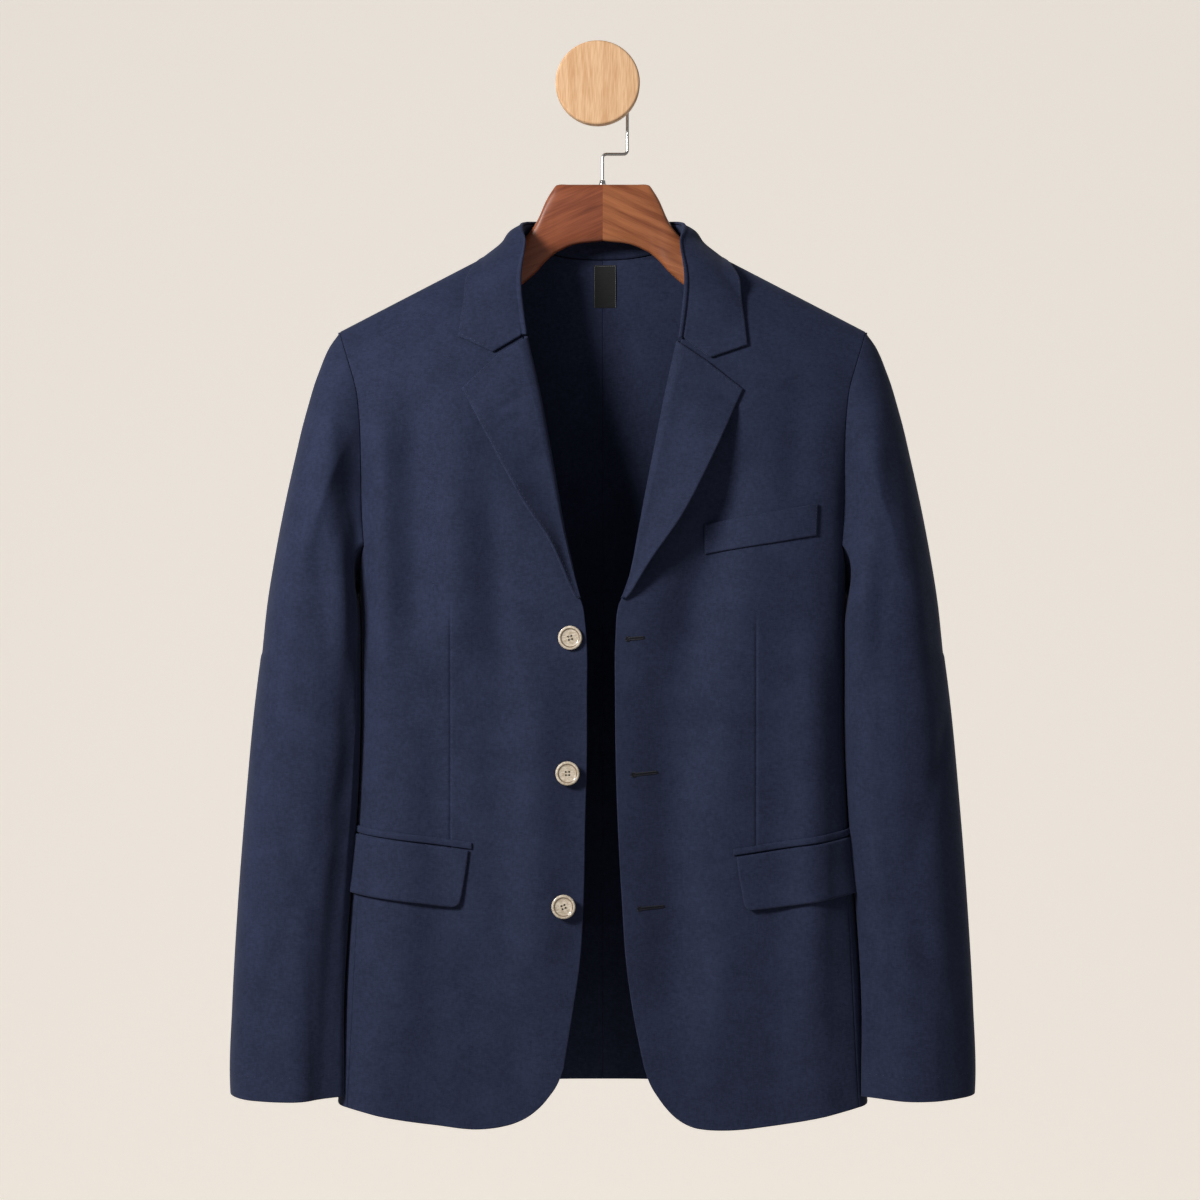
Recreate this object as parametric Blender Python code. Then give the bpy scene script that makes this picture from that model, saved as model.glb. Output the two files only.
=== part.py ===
"""Single breasted blazer on a wooden suit hanger, hung from a turned wall peg.

Metres, +Z up, -Y towards the room, +X towards the wearer's left. The origin is the centre of the peg's flat back
face, which lies against the wall in the plane y = 0. Every cloth panel is a grid of points worked out on one body
surface (or on one sleeve tube), given a wall thickness inwards, and parted from its neighbours at each seam.
"""
import math

import bmesh
import bpy
import numpy as np

# ---------------------------------------------------------------- driving dimensions
CENTRE_X = 0.0044          # middle plane of the coat and hanger
CLOTH = 0.0015             # wall of the body and sleeves
DOUBLED = 0.0024           # wall of turned pieces: lapels, collar, flaps
SEAM_GAP = 0.0003          # between two sewn pieces
CLEAR = 0.0004             # between a piece and the piece it lies on

SHOULDER_X = 0.2311        # shoulder point from the middle plane
SHOULDER_Z = -0.2183
SHOULDER_SLOPE = 0.53      # drop of the shoulder line for each metre out
NECK_POINT_X = 0.0745      # where the shoulder seam meets the collar
RIDGE_Y = -0.0400          # shoulder line at the neck
RIDGE_FORWARD = 0.10       # the hanger's arms lean forward by this slope
FRONT_ROUNDING = 0.120     # height over which the front rounds over the shoulder
BACK_ROUNDING = 0.070

BACK_NECK_Z = -0.1510      # back neck seam at the middle
BACK_NECK_RISE = 0.0157
BACK_HEM_Z = -0.8810
UNDERARM_Z = -0.4460
UNDERARM_SPREAD_Z = -0.3900  # below this the sleeve keeps clear of the body's side

# Body sections: height, half width, front depth, back depth, squareness
BODY = (
    (-0.920, 0.2330, -0.1195, -0.0150, 6.5),
    (-0.868, 0.2295, -0.1200, -0.0140, 6.5),
    (-0.815, 0.2275, -0.1200, -0.0130, 6.5),
    (-0.709, 0.2190, -0.1200, -0.0120, 6.5),
    (-0.656, 0.2145, -0.1190, -0.0130, 6.5),
    (-0.590, 0.2110, -0.1180, -0.0150, 6.5),
    (-0.500, 0.2105, -0.1180, -0.0140, 6.5),
    (-0.440, 0.2115, -0.1165, -0.0120, 6.0),
    (-0.380, 0.2125, -0.1120, -0.0115, 5.5),
    (-0.334, 0.2160, -0.1080, -0.0115, 5.0),
    (-0.297, 0.2240, -0.1050, -0.0115, 4.5),
    (-0.269, 0.2350, -0.1010, -0.0115, 4.5),
    (-0.247, 0.2500, -0.0985, -0.0120, 4.5),
    (-0.205, 0.2700, -0.0920, -0.0120, 4.5),
    (-0.140, 0.3000, -0.0800, -0.0125, 4.5),
)
# Seam between front and side panel, then the front of the armhole: height, distance from the middle plane
FRONT_OUTER = (
    (-0.920, 0.2225),
    (-0.850, 0.2185),
    (-0.727, 0.2125),
    (-0.620, 0.2065),
    (-0.500, 0.2050),
    (-0.425, 0.2060),
    (-0.375, 0.2095),
    (-0.334, 0.2102),
    (-0.297, 0.2115),
    (-0.269, 0.2150),
    (-0.247, 0.2215),
    (-0.218, 0.2311),
)
# Seam between back and side panel, then the back of the armhole
BACK_OUTER = (
    (-0.920, 0.2060),
    (-0.850, 0.2020),
    (-0.700, 0.1940),
    (-0.560, 0.1880),
    (-0.410, 0.1930),
    (-0.360, 0.1945),
    (-0.310, 0.1975),
    (-0.270, 0.2050),
    (-0.240, 0.2170),
    (-0.218, 0.2311),
)
# Front edge up to the break, then the roll line, then the neck seam: height, wearer's right, wearer's left
FRONT_INNER = (
    (-0.8560, 0.0335, 0.0355),
    (-0.8137, 0.0267, 0.0269),
    (-0.7672, 0.0198, 0.0203),
    (-0.7122, 0.0164, 0.0165),
    (-0.6433, 0.0150, 0.0128),
    (-0.5917, 0.0136, 0.0112),
    (-0.5401, 0.0135, 0.0106),
    (-0.4884, 0.0139, 0.0108),
    (-0.4592, 0.0170, 0.0132),
    (-0.4324, 0.0239, 0.0227),
    (-0.3936, 0.0325, 0.0305),
    (-0.3590, 0.0385, 0.0370),
    (-0.3154, 0.0462, 0.0455),
    (-0.2719, 0.0545, 0.0543),
    (-0.2225, 0.0655, 0.0650),
    (-0.2000, 0.0695, 0.0695),
    (-0.1700, 0.0728, 0.0728),
    (-0.1353, 0.0745, 0.0745),
)
BREAK_Z = -0.4592
ROLL_INSET = 0.0045        # the front's own edge lies this far inside the lapel's fold
# Rounded front corner and hem: right x, right z, left x, left z, both from the middle plane
FRONT_HEM = (
    (0.0335, -0.8560, 0.0355, -0.8560),
    (0.0372, -0.8665, 0.0392, -0.8670),
    (0.0471, -0.8825, 0.0484, -0.8833),
    (0.0608, -0.8963, 0.0596, -0.8970),
    (0.0746, -0.9040, 0.0762, -0.9075),
    (0.0884, -0.9078, 0.0884, -0.9098),
    (0.1021, -0.9095, 0.1010, -0.9104),
    (0.1450, -0.9060, 0.1450, -0.9070),
    (0.1925, -0.8985, 0.1930, -0.8985),
    (0.2225, -0.8920, 0.2225, -0.8920),
)

# Lapel: outer edge from the break up to the point: right x, right z, left x, left z
LAPEL_EDGE = (
    (0.0235, -0.4520, 0.0200, -0.4530),
    (0.0420, -0.4085, 0.0350, -0.4270),
    (0.0680, -0.3690, 0.0729, -0.3715),
    (0.0975, -0.3160, 0.0966, -0.3250),
    (0.1223, -0.2705, 0.1215, -0.2714),
)
# Top line of the lapel: gorge at the roll, notch
GORGE = {"right": ((0.0655, -0.2248), (0.0925, -0.2393)), "left": ((0.0650, -0.2248), (0.0920, -0.2400))}
# Across the lapel: share of the way out, height of its outer face above the front
LAPEL_COLUMNS = ((0.12, 0.0062), (0.27, 0.0058), (0.45, 0.0050), (0.72, 0.0040), (1.00, 0.0031))
# The roll that joins the lapel to the front: distance out from the fold, height above the front, wall
LAPEL_ROLL = ((0.0035, -0.0015, 0.0015), (0.0010, -0.0010, 0.0017), (0.0000, 0.0016, 0.0021))
ROLL_SPREAD = (0.0, 0.0003, 0.0006)  # the roll's lines lie side by side where it ends at the break
LAPEL_ROWS = 12
LAPEL_TIP = 0.0070         # the lapel starts this far above the break

# Collar: fold x, y, z, then outer edge x, y, z, from the middle of the back to the front end
COLLAR = (
    (0.0000, -0.0160, -0.1170, 0.0000, -0.0065, -0.1640),
    (0.0220, -0.0168, -0.1171, 0.0340, -0.0065, -0.1640),
    (0.0420, -0.0215, -0.1174, 0.0660, -0.0070, -0.1632),
    (0.0580, -0.0310, -0.1182, 0.0930, -0.0120, -0.1600),
    (0.0670, -0.0440, -0.1200, 0.1110, -0.0300, -0.1525),
    (0.0702, -0.0560, -0.1235, 0.1155, -0.0500, -0.1545),
    (0.0712, -0.0680, -0.1320, 0.1180, -0.0640, -0.1665),
    (0.0712, -0.0790, -0.1470, 0.1200, -0.0740, -0.1800),
    (0.0710, -0.0870, -0.1660, 0.1222, -0.0820, -0.1950),
    (0.0700, -0.0925, -0.1880, 0.1240, -0.0870, -0.2090),
    (0.0655, -0.0985, -0.2225, 0.1257, -0.0925, -0.2245),
)
# Neck seam under the collar, by the collar table's rows: row, x (back) and height (front)
NECK_SEAM = (
    (0, 0.0000, -0.1353),
    (1, 0.0245, -0.1353),
    (2, 0.0467, -0.1353),
    (3, 0.0645, -0.1353),
    (4, 0.0745, -0.1353),
    (5, 0.0745, -0.1480),
    (6, 0.0745, -0.1600),
    (7, 0.0745, -0.1730),
    (8, 0.0745, -0.1870),
    (9, 0.0745, -0.2040),
    (10, 0.0745, -0.2260),
)
NECK_POINT_ROW = 4.0
STAND_END_ROW = 9.5
STAND_LIFT = 0.0006        # between the neck seam's edge and the stand
# The collar's roll: out from the fold, up from it, wall
COLLAR_ROLL = ((0.0000, -0.0018, 0.0014), (0.0009, -0.0003, 0.0014), (0.0030, -0.0003, 0.0016), (0.0046, -0.0019, 0.0020))
# Across the collar: share of the way from the roll to the edge, bulge outwards
COLLAR_COLUMNS = ((0.20, 0.0020), (0.45, 0.0030), (0.72, 0.0020), (1.00, 0.0))
COLLAR_NOTCH = (0.45, 0.0148)  # share of the way out along the front edge, and how far it lies below the chord
COLLAR_LIFT = 0.0036
COLLAR_STEPS = 2           # rows made for each row of the collar's table

# Pockets: corners given as distance from the middle plane and height
FLAP_LENGTH = 0.138
# Flap: inner end x, height of its top there, rise for each metre outwards, drop
FLAP = {"right": (0.1152, -0.6692, 0.128, 0.0505), "left": (0.1148, -0.6748, 0.150, 0.0480)}
FLAP_ROWS = ((0.0, 0.0), (0.35, 0.0030), (0.70, 0.0060), (0.88, 0.0090), (1.0, 0.0170))  # share down, set-in
JET_HEIGHT = 0.0060
JET_LIFT = 0.0023
FLAP_LIFT = 0.0036
WELT = ((0.0869, -0.3888), (0.1858, -0.3711), (0.1844, -0.3986), (0.0880, -0.4146))

BUTTON_RADIUS = 0.0104
BUTTON_THICKNESS = 0.0036
BUTTONS = ((-0.0281, -0.4865), (-0.0303, -0.6028), (-0.0337, -0.7170))

# Sleeve rings: height, inner x, outer x, front y, back y
SLEEVE = (
    (-0.476, 0.2165, 0.2948, -0.1240, -0.0160),
    (-0.542, 0.2155, 0.3034, -0.1250, -0.0170),
    (-0.630, 0.2190, 0.3116, -0.1250, -0.0190),
    (-0.718, 0.2262, 0.3180, -0.1255, -0.0260),
    (-0.806, 0.2298, 0.3225, -0.1270, -0.0350),
    (-0.872, 0.2322, 0.3240, -0.1285, -0.0430),
    (-0.892, 0.2335, 0.3228, -0.1290, -0.0450),
)
SLEEVE_POWER_OUT = 2.5     # squareness of the outer half of the sleeve's section
SLEEVE_POWER_IN = 3.6      # and of the half that lies along the body
CUFF_DROP = 0.0025         # the cuff is lower at its middle than at its corners
FOREARM_SEAM = 0.44        # share of the way round from the shoulder point, forwards
HIND_SEAM = 0.79

# Soft folds of the front: x, z at the top, x, z at the bottom, half width, depth (ridge +, trough -)
FRONT_FOLDS = {
    "right": (
        (0.1900, -0.5200, 0.1950, -0.8900, 0.0220, 0.0028),
        (0.1400, -0.5600, 0.1420, -0.9000, 0.0220, -0.0028),
        (0.0850, -0.4600, 0.0800, -0.8200, 0.0220, -0.0024),
    ),
    "left": (
        (0.1780, -0.5200, 0.1900, -0.8900, 0.0220, 0.0026),
        (0.1450, -0.6200, 0.1500, -0.9000, 0.0220, -0.0026),
        (0.0700, -0.4600, 0.0650, -0.8000, 0.0220, -0.0022),
    ),
}
BACK_FOLDS = (
    (0.0950, -0.3800, 0.1250, -0.8800, 0.0220, 0.0026),
    (0.0450, -0.4600, 0.0500, -0.8800, 0.0170, -0.0028),
    (0.1600, -0.5000, 0.1750, -0.8800, 0.0150, -0.0026),
)
# Folds of the sleeves: share round, height at the top, share round, height at the bottom, half width, depth
SLEEVE_FOLDS = (
    (0.20, -0.330, 0.32, -0.520, 0.030, -0.0040),
    (0.10, -0.560, 0.26, -0.690, 0.030, -0.0035),
    (0.70, -0.480, 0.84, -0.640, 0.035, -0.0035),
    (0.36, -0.600, 0.22, -0.760, 0.028, -0.0030),
)

# Neck tab
TAB_X = 0.0065
TAB_WIDTH = 0.0200
TAB_HEIGHT = 0.0380
TAB_TOP_Z = -0.1555
TAB_THICKNESS = 0.0010

# Hanger
HANGER_TOP_Z = -0.0868
# Distance from the middle, height of the top, height of the underside, thickness, middle y
HANGER_OUTLINE = (
    (0.0000, -0.0868, -0.1365, 0.0140, -0.0400),
    (0.0300, -0.0868, -0.1415, 0.0140, -0.0400),
    (0.0420, -0.0880, -0.1475, 0.0140, -0.0400),
    (0.0500, -0.1010, -0.1545, 0.0135, -0.0404),
    (0.0570, -0.1170, -0.1625, 0.0128, -0.0412),
    (0.0720, -0.1366, -0.1760, 0.0120, -0.0424),
    (0.0860, -0.1444, -0.1850, 0.0150, -0.0428),
    (0.1200, -0.1620, -0.2040, 0.0220, -0.0450),
    (0.1700, -0.1885, -0.2280, 0.0260, -0.0500),
    (0.2000, -0.2046, -0.2370, 0.0270, -0.0530),
    (0.2130, -0.2150, -0.2340, 0.0180, -0.0543),
)
HANGER_STATIONS = (
    0.0002, 0.0150, 0.0300, 0.0380, 0.0420, 0.0460, 0.0500, 0.0535, 0.0570, 0.0640, 0.0720, 0.0790, 0.0860,
    0.1000, 0.1200, 0.1450, 0.1700, 0.1850, 0.2000, 0.2080, 0.2130,
)
HANGER_AROUND = 14
HOOK_WIRE_RADIUS = 0.0014
HOOK_RADIUS = 0.0262
HOOK_CENTRE_Z = -0.0113
HOOK_STEP_Z = -0.0598
HOOK_BEND = 0.0035
HOOK_Y = -0.0400
FERRULE_RADIUS = 0.0032
FERRULE_HEIGHT = 0.0036
# Wall peg
PEG_STEM_RADIUS = 0.0130
PEG_DISC_RADIUS = 0.0370
PEG_DISC_FRONT_Y = -0.0650
PEG_DISC_THICKNESS = 0.0150
PEG_EDGE = 0.0022

SIDES = {"right": -1.0, "left": 1.0}


# ---------------------------------------------------------------- small helpers
def table_curve(rows, column, at, key=0):
    """Smooth curve through a table's column, read against its key column."""
    data = np.array(rows, dtype=float)
    keys = data[:, key]
    values = data[:, column]
    slopes = np.gradient(values, keys)
    at = np.clip(np.asarray(at, dtype=float), keys[0], keys[-1])
    i = np.clip(np.searchsorted(keys, at) - 1, 0, len(keys) - 2)
    width = keys[i + 1] - keys[i]
    t = (at - keys[i]) / width
    return (
        (2 * t**3 - 3 * t**2 + 1) * values[i]
        + (t**3 - 2 * t**2 + t) * width * slopes[i]
        + (3 * t**2 - 2 * t**3) * values[i + 1]
        + (t**3 - t**2) * width * slopes[i + 1]
    )


def soft_line_folds(folds, x, z):
    """Sum of soft troughs and ridges that run along straight lines and fade at their ends."""
    total = np.zeros(np.broadcast(x, z).shape)
    for x0, z0, x1, z1, half_width, depth in folds:
        along = np.clip((z0 - z) / (z0 - z1), -0.3, 1.3)
        off = (x - (x0 + (x1 - x0) * along)) / half_width
        fade = np.clip((along + 0.3) / 0.5, 0, 1) * np.clip((1.6 - along) / 0.4, 0, 1)
        total = total + depth * np.exp(-off**2) * fade * fade * (3 - 2 * fade)
    return total


def resample(points, count):
    """Points spread evenly by length along a line through the given points."""
    points = np.asarray(points, dtype=float)
    steps = np.linalg.norm(np.diff(points, axis=0), axis=1)
    run = np.concatenate([[0.0], np.cumsum(steps)])
    at = np.linspace(0.0, run[-1], count)
    return np.stack([np.interp(at, run, points[:, k]) for k in range(points.shape[1])], axis=1)


# ---------------------------------------------------------------- body surface (x from the middle plane, x >= 0)
def shoulder_z(x):
    return SHOULDER_Z + SHOULDER_SLOPE * (SHOULDER_X - x)


def ridge_y(x):
    return RIDGE_Y - RIDGE_FORWARD * np.maximum(0.0, x - 0.07)


def rounding(x, z, height):
    drop = np.clip((shoulder_z(x) - z) / height, 0.0, 1.0)
    return np.sqrt(1.0 - (1.0 - drop) ** 2)


def section_share(x, z):
    width = table_curve(BODY, 1, z)
    power = table_curve(BODY, 4, z)
    return (1.0 - np.clip(x / width, 0.0, 1.0) ** power) ** (1.0 / power)


def front_y(x, z, side):
    x = np.asarray(x, dtype=float)
    base = ridge_y(x)
    deep = table_curve(BODY, 2, z)
    y = base + (deep - base) * section_share(x, z) * rounding(x, z, FRONT_ROUNDING)
    return y - soft_line_folds(FRONT_FOLDS[side], x, z) * np.clip((0.2 - x) / 0.02 + 0.6, 0, 1)


def back_y(x, z):
    x = np.asarray(x, dtype=float)
    base = ridge_y(x)
    deep = table_curve(BODY, 3, z)
    y = base + (deep - base) * section_share(x, z) * rounding(x, z, BACK_ROUNDING)
    return y + soft_line_folds(BACK_FOLDS, x, z) * np.clip((0.185 - x) / 0.02 + 0.6, 0, 1)


def body_arc(z, side, samples=121):
    """Section of the body at one height, from the front middle to the back middle, with its run of length."""
    width = float(table_curve(BODY, 1, z))
    turn = np.linspace(0.0, math.pi / 2, samples)
    x = width * np.sin(turn) ** (2.0 / float(table_curve(BODY, 4, z)))
    flat = np.linspace(0.0, x[1], 12)[1:-1]
    x = np.concatenate([[0.0], flat, x[1:]])
    front = np.stack([x, front_y(x, z, side)], axis=1)
    back = np.stack([x, back_y(x, z)], axis=1)[::-1]
    line = np.concatenate([front, back[1:]])
    run = np.concatenate([[0.0], np.cumsum(np.linalg.norm(np.diff(line, axis=0), axis=1))])
    half = len(front)
    return line, run, half


def body_on_arc(z, side, arc):
    line, run, _ = body_arc(z, side)
    return np.array([np.interp(arc, run, line[:, 0]), np.interp(arc, run, line[:, 1]), z])


def arc_of_x(z, side, x, face):
    line, run, half = body_arc(z, side)
    if face == "front":
        return float(np.interp(x, line[:half, 0], run[:half]))
    return float(np.interp(-x, -line[half - 1:, 0], run[half - 1:]))


def placed(points, side):
    """Turns points measured outwards from the middle plane into world points on the wearer's side."""
    out = np.array(points, dtype=float)
    out[..., 0] = CENTRE_X + SIDES[side] * out[..., 0]
    return out


# ---------------------------------------------------------------- panels as grids of points
def meets(edge_of, top_of_row, start):
    """Where a row's line crosses an edge that is given as x for each height."""
    x = start
    for _ in range(40):
        x = 0.5 * x + 0.5 * float(edge_of(top_of_row(x)))
    return x


ROW_DROPS = (0.0, 0.0022, 0.0085, 0.0190, 0.0340, 0.0540, 0.0790, 0.1080, 0.1400, 0.1720, 0.2050)
PANEL_HEIGHT = 0.705
BREAK_LEVEL = 0.5283       # the row that meets the front edge at the break
CORNER_SHARE = 0.16        # up to this row the columns follow the rounded front corner
ROWS_BELOW_BREAK = 11
ROWS_ABOVE_BREAK = 5
NECK_COLUMNS = 3           # the back's columns between its middle and the neck point


def row_levels():
    """Shares of the panel's height, from the hem (0) to the shoulder (1)."""
    upper = [1.0 - drop / PANEL_HEIGHT for drop in ROW_DROPS]
    lower = np.linspace(0.0, BREAK_LEVEL, ROWS_BELOW_BREAK + 1)[:-1]
    middle = np.linspace(BREAK_LEVEL, upper[-1], ROWS_ABOVE_BREAK + 1)[:-1]
    return np.concatenate([lower, middle, upper[::-1]])


LEVELS = row_levels()
ARM_ROW = ROWS_BELOW_BREAK + ROWS_ABOVE_BREAK  # where the side panel ends and the armhole begins


def front_inner_x(z, side):
    """Front edge, then the strip inside the lapel's fold, then the neck seam."""
    column = 1 if side == "right" else 2
    x = table_curve(FRONT_INNER, column, z)
    fold = np.clip((z - BREAK_Z) / 0.03, 0.0, 1.0) * np.clip((-0.1480 - z) / 0.04, 0.0, 1.0)
    return x + ROLL_INSET * fold


def front_hem_line(side):
    first = 0 if side == "right" else 2
    return np.array(FRONT_HEM)[:, first:first + 2]


def hem_points(side):
    """Points spread evenly along the front's hem, from the front edge round the corner to the side seam."""
    hem = front_hem_line(side)
    x = np.concatenate([np.linspace(a, b, 8, endpoint=False) for a, b in zip(hem[:, 0], hem[1:, 0])] + [hem[-1:, 0]])
    return resample(np.stack([x, table_curve(hem, 1, x)], axis=1), 401)


def front_grid(side, columns=9):
    """Front panel: rows from hem to shoulder, columns from the front edge to the side seam and armhole."""
    hem = hem_points(side)
    even = np.linspace(0.0, 1.0, columns + 1)
    hem_x = np.interp(even**1.25, np.linspace(0.0, 1.0, len(hem)), hem[:, 0])
    corner = (hem_x - hem_x[0]) / (hem_x[-1] - hem_x[0])
    grid = np.zeros((len(LEVELS), columns + 1, 3))
    for j, level in enumerate(LEVELS):

        def row_z(x):
            foot = np.interp(x, hem[:, 0], hem[:, 1])
            return foot + level * (shoulder_z(x) - foot)

        if level == 0.0:
            x_in, x_out = hem_x[0], hem_x[-1]
        elif level == 1.0:
            x_in, x_out = NECK_POINT_X, SHOULDER_X
        else:
            x_in = meets(lambda z: front_inner_x(z, side), row_z, 0.04)
            x_out = meets(lambda z: table_curve(FRONT_OUTER, 1, z), row_z, 0.21)
        blend = min(1.0, level / CORNER_SHARE)
        x = x_in + (x_out - x_in) * (corner * (1.0 - blend) + even * blend)
        z = row_z(x)
        grid[j] = np.stack([x, front_y(x, z, side), z], axis=1)
    return grid


def back_top_z(x):
    """Back neck seam inside the neck point, shoulder line outside it."""
    neck = BACK_NECK_Z + BACK_NECK_RISE * np.clip(x / NECK_POINT_X, 0.0, 1.0) ** 2.5
    return np.where(x < NECK_POINT_X, neck, shoulder_z(x))


def back_grid(front):
    """Back panel: same rows; its shoulder columns repeat the front's points along the shoulder seam."""
    neck_x = np.linspace(0.0, NECK_POINT_X, NECK_COLUMNS + 1)[:-1]
    top_x = np.concatenate([neck_x, front[-1, :, 0]])
    share_top = top_x / SHOULDER_X
    even = np.linspace(0.0, 1.0, len(top_x))
    grid = np.zeros((len(LEVELS), len(top_x), 3))
    for j, level in enumerate(LEVELS):

        def row_z(x):
            return BACK_HEM_Z + level * (back_top_z(x) - BACK_HEM_Z)

        x_out = SHOULDER_X if level == 1.0 else meets(lambda z: table_curve(BACK_OUTER, 1, z), row_z, 0.2)
        blend = level**3
        x = x_out * (share_top * blend + even * (1.0 - blend))
        z = row_z(x)
        grid[j] = np.stack([x, back_y(x, z), z], axis=1)
    grid[-1, :, 1] = np.where(top_x < NECK_POINT_X, grid[-1, :, 1], ridge_y(top_x))
    return grid


def side_grid(front, back, side, columns=6):
    """Side panel: from the front's side seam round to the back's, its top edge the foot of the armhole."""
    grid = np.zeros((ARM_ROW + 1, columns + 1, 3))
    share = np.linspace(0.0, 1.0, columns + 1)
    dip = UNDERARM_Z - 0.5 * (front[ARM_ROW, -1, 2] + back[ARM_ROW, -1, 2])
    for j in range(ARM_ROW + 1):
        start = front[j, -1]
        end = back[j, -1]
        z = start[2] + (end[2] - start[2]) * share
        z = z + dip * (j / ARM_ROW) ** 2 * np.sin(math.pi * share) ** 1.2
        for i in range(columns + 1):
            arc_from = arc_of_x(z[i], side, start[0], "front")
            arc_to = arc_of_x(z[i], side, end[0], "back")
            grid[j, i] = body_on_arc(z[i], side, arc_from + (arc_to - arc_from) * share[i])
        grid[j, 0] = start
        grid[j, -1] = end
    return grid


# ---------------------------------------------------------------- sleeves
def armhole_loop(front, side_panel, back):
    """Points round the armhole from the shoulder point forwards, under the arm and up the back."""
    down_front = front[ARM_ROW:, -1][::-1]
    under = side_panel[-1, 1:-1]
    up_back = back[ARM_ROW:, -1]
    return np.concatenate([down_front, under, up_back[:-1]])


def sleeve_ring(z, shares):
    inner, outer, front, back = (float(table_curve(SLEEVE[::-1], k, z)) for k in (1, 2, 3, 4))
    angle = np.linspace(0.0, 2 * math.pi, 361)
    mid_x, half_x = 0.5 * (inner + outer), 0.5 * (outer - inner)
    mid_y, half_y = 0.5 * (front + back), 0.5 * (back - front)
    power = np.where(np.cos(angle) > 0, 2.0 / SLEEVE_POWER_OUT, 2.0 / SLEEVE_POWER_IN)
    x = mid_x + half_x * np.sign(np.cos(angle)) * np.abs(np.cos(angle)) ** power
    y = mid_y - half_y * np.sign(np.sin(angle)) * np.abs(np.sin(angle)) ** power
    run = np.concatenate([[0.0], np.cumsum(np.hypot(np.diff(x), np.diff(y)))])
    at = np.asarray(shares) * run[-1]
    return np.stack([np.interp(at, run, x), np.interp(at, run, y), np.full(len(at), z)], axis=1)


CAP_ROWS = 6               # rows of the sleeve head, then rows down to the cuff
RING_ROWS = 9


def sleeve_grid(loop):
    """Sleeve tube: rows from the armhole to the cuff, columns round it; the last column repeats the first."""
    closed = np.concatenate([loop, loop[:1]])
    run = np.concatenate([[0.0], np.cumsum(np.linalg.norm(np.diff(closed, axis=0), axis=1))])
    shares = run / run[-1]
    top_z, cuff_z = SLEEVE[0][0], SLEEVE[-1][0]
    first = sleeve_ring(top_z, shares)
    second = sleeve_ring(top_z - 0.01, shares)
    middle = loop.mean(axis=0)
    rows = []
    reach = np.linalg.norm(first - closed, axis=1)[:, None]
    radial = closed - middle
    radial[:, 0] = 0.0
    radial = radial / np.linalg.norm(radial, axis=1)[:, None]
    high = np.clip(radial[:, 2], 0.0, 1.0)
    low = np.clip(-radial[:, 2], 0.0, 1.0)
    leave = np.stack([0.60 + 0.25 * high + 0.3 * low, 0.42 * radial[:, 1], -0.72 + 0.22 * high + 0.3 * low], axis=1)
    leave = leave / np.linalg.norm(leave, axis=1)[:, None] * reach * 0.75
    arrive = (second - first) / np.linalg.norm(second - first, axis=1)[:, None] * reach * 1.1
    for k in range(CAP_ROWS):
        t = k / CAP_ROWS
        row = (
            (2 * t**3 - 3 * t**2 + 1) * closed + (t**3 - 2 * t**2 + t) * leave
            + (3 * t**2 - 2 * t**3) * first + (t**3 - t**2) * arrive
        )
        beside = np.clip((UNDERARM_SPREAD_Z - row[:, 2]) / 0.03, 0.0, 1.0) * min(1.0, 3.0 * t)
        clear_x = table_curve(BODY, 1, row[:, 2]) + 0.0045 * np.sqrt(t)
        row[:, 0] = np.where(row[:, 0] < clear_x, row[:, 0] + (clear_x - row[:, 0]) * beside, row[:, 0])
        rows.append(row)
    for k in range(RING_ROWS + 1):
        t = k / RING_ROWS
        z = top_z + (cuff_z - top_z) * t
        ring = sleeve_ring(z, shares)
        ring[:, 2] -= CUFF_DROP * t**4 * np.sin(2 * math.pi * shares) ** 2
        rows.append(ring)
    grid = np.array(rows)
    return fold_sleeve(grid, shares), shares


def fold_sleeve(grid, shares):
    """Presses the sleeve's soft folds in, across the tube."""
    middle = grid.mean(axis=1, keepdims=True)
    out = grid - middle
    out[..., 2] = 0.0
    out = out / np.maximum(np.linalg.norm(out, axis=2, keepdims=True), 1e-6)
    depth = soft_line_folds(SLEEVE_FOLDS, np.broadcast_to(shares, grid.shape[:2]), grid[..., 2])
    ease = np.clip(np.arange(grid.shape[0]) / 3.0, 0.0, 1.0)[:, None]
    return grid + out * (depth * ease)[..., None]


# ---------------------------------------------------------------- solids from grids
class Quilt:
    """Grids that share seam points: their outward directions are added up at each shared point.

    Body and sleeve directions are added as equals. Under the arm they nearly cancel, because the seam is a sharp
    fold that opens downwards, so the missing part is made up with a downward direction.
    """

    def __init__(self):
        self.normals = {}
        self.grids = {}

    @staticmethod
    def key(point):
        return tuple(int(round(value * 2e5)) for value in point)

    def add(self, name, grid, flip):
        """Takes a grid whose outward side is (row step) x (column step), or the other way when flip is set."""
        grid = np.array(grid, dtype=float)
        self.grids[name] = (grid, flip)
        across = grid[:-1, 1:] - grid[:-1, :-1]
        along = grid[1:, :-1] - grid[:-1, :-1]
        far_across = grid[1:, 1:] - grid[1:, :-1]
        far_along = grid[1:, 1:] - grid[:-1, 1:]
        cell = np.cross(along + far_along, across + far_across)
        kind = name.startswith("sleeve")
        if flip:
            cell = -cell
        for j in range(cell.shape[0]):
            for i in range(cell.shape[1]):
                for dj, di in ((0, 0), (0, 1), (1, 0), (1, 1)):
                    shared = self.normals.setdefault(self.key(grid[j + dj, i + di]), {})
                    shared[kind] = shared.get(kind, np.zeros(3)) + cell[j, i]

    def outward(self, grid):
        out = np.zeros_like(grid)
        for j in range(grid.shape[0]):
            for i in range(grid.shape[1]):
                parts = self.normals[self.key(grid[j, i])].values()
                normal = sum(part / np.linalg.norm(part) for part in parts)
                normal[2] -= 1.6 * (1.0 - np.linalg.norm(normal) / len(parts))
                out[j, i] = normal / np.linalg.norm(normal)
        return out


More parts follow.
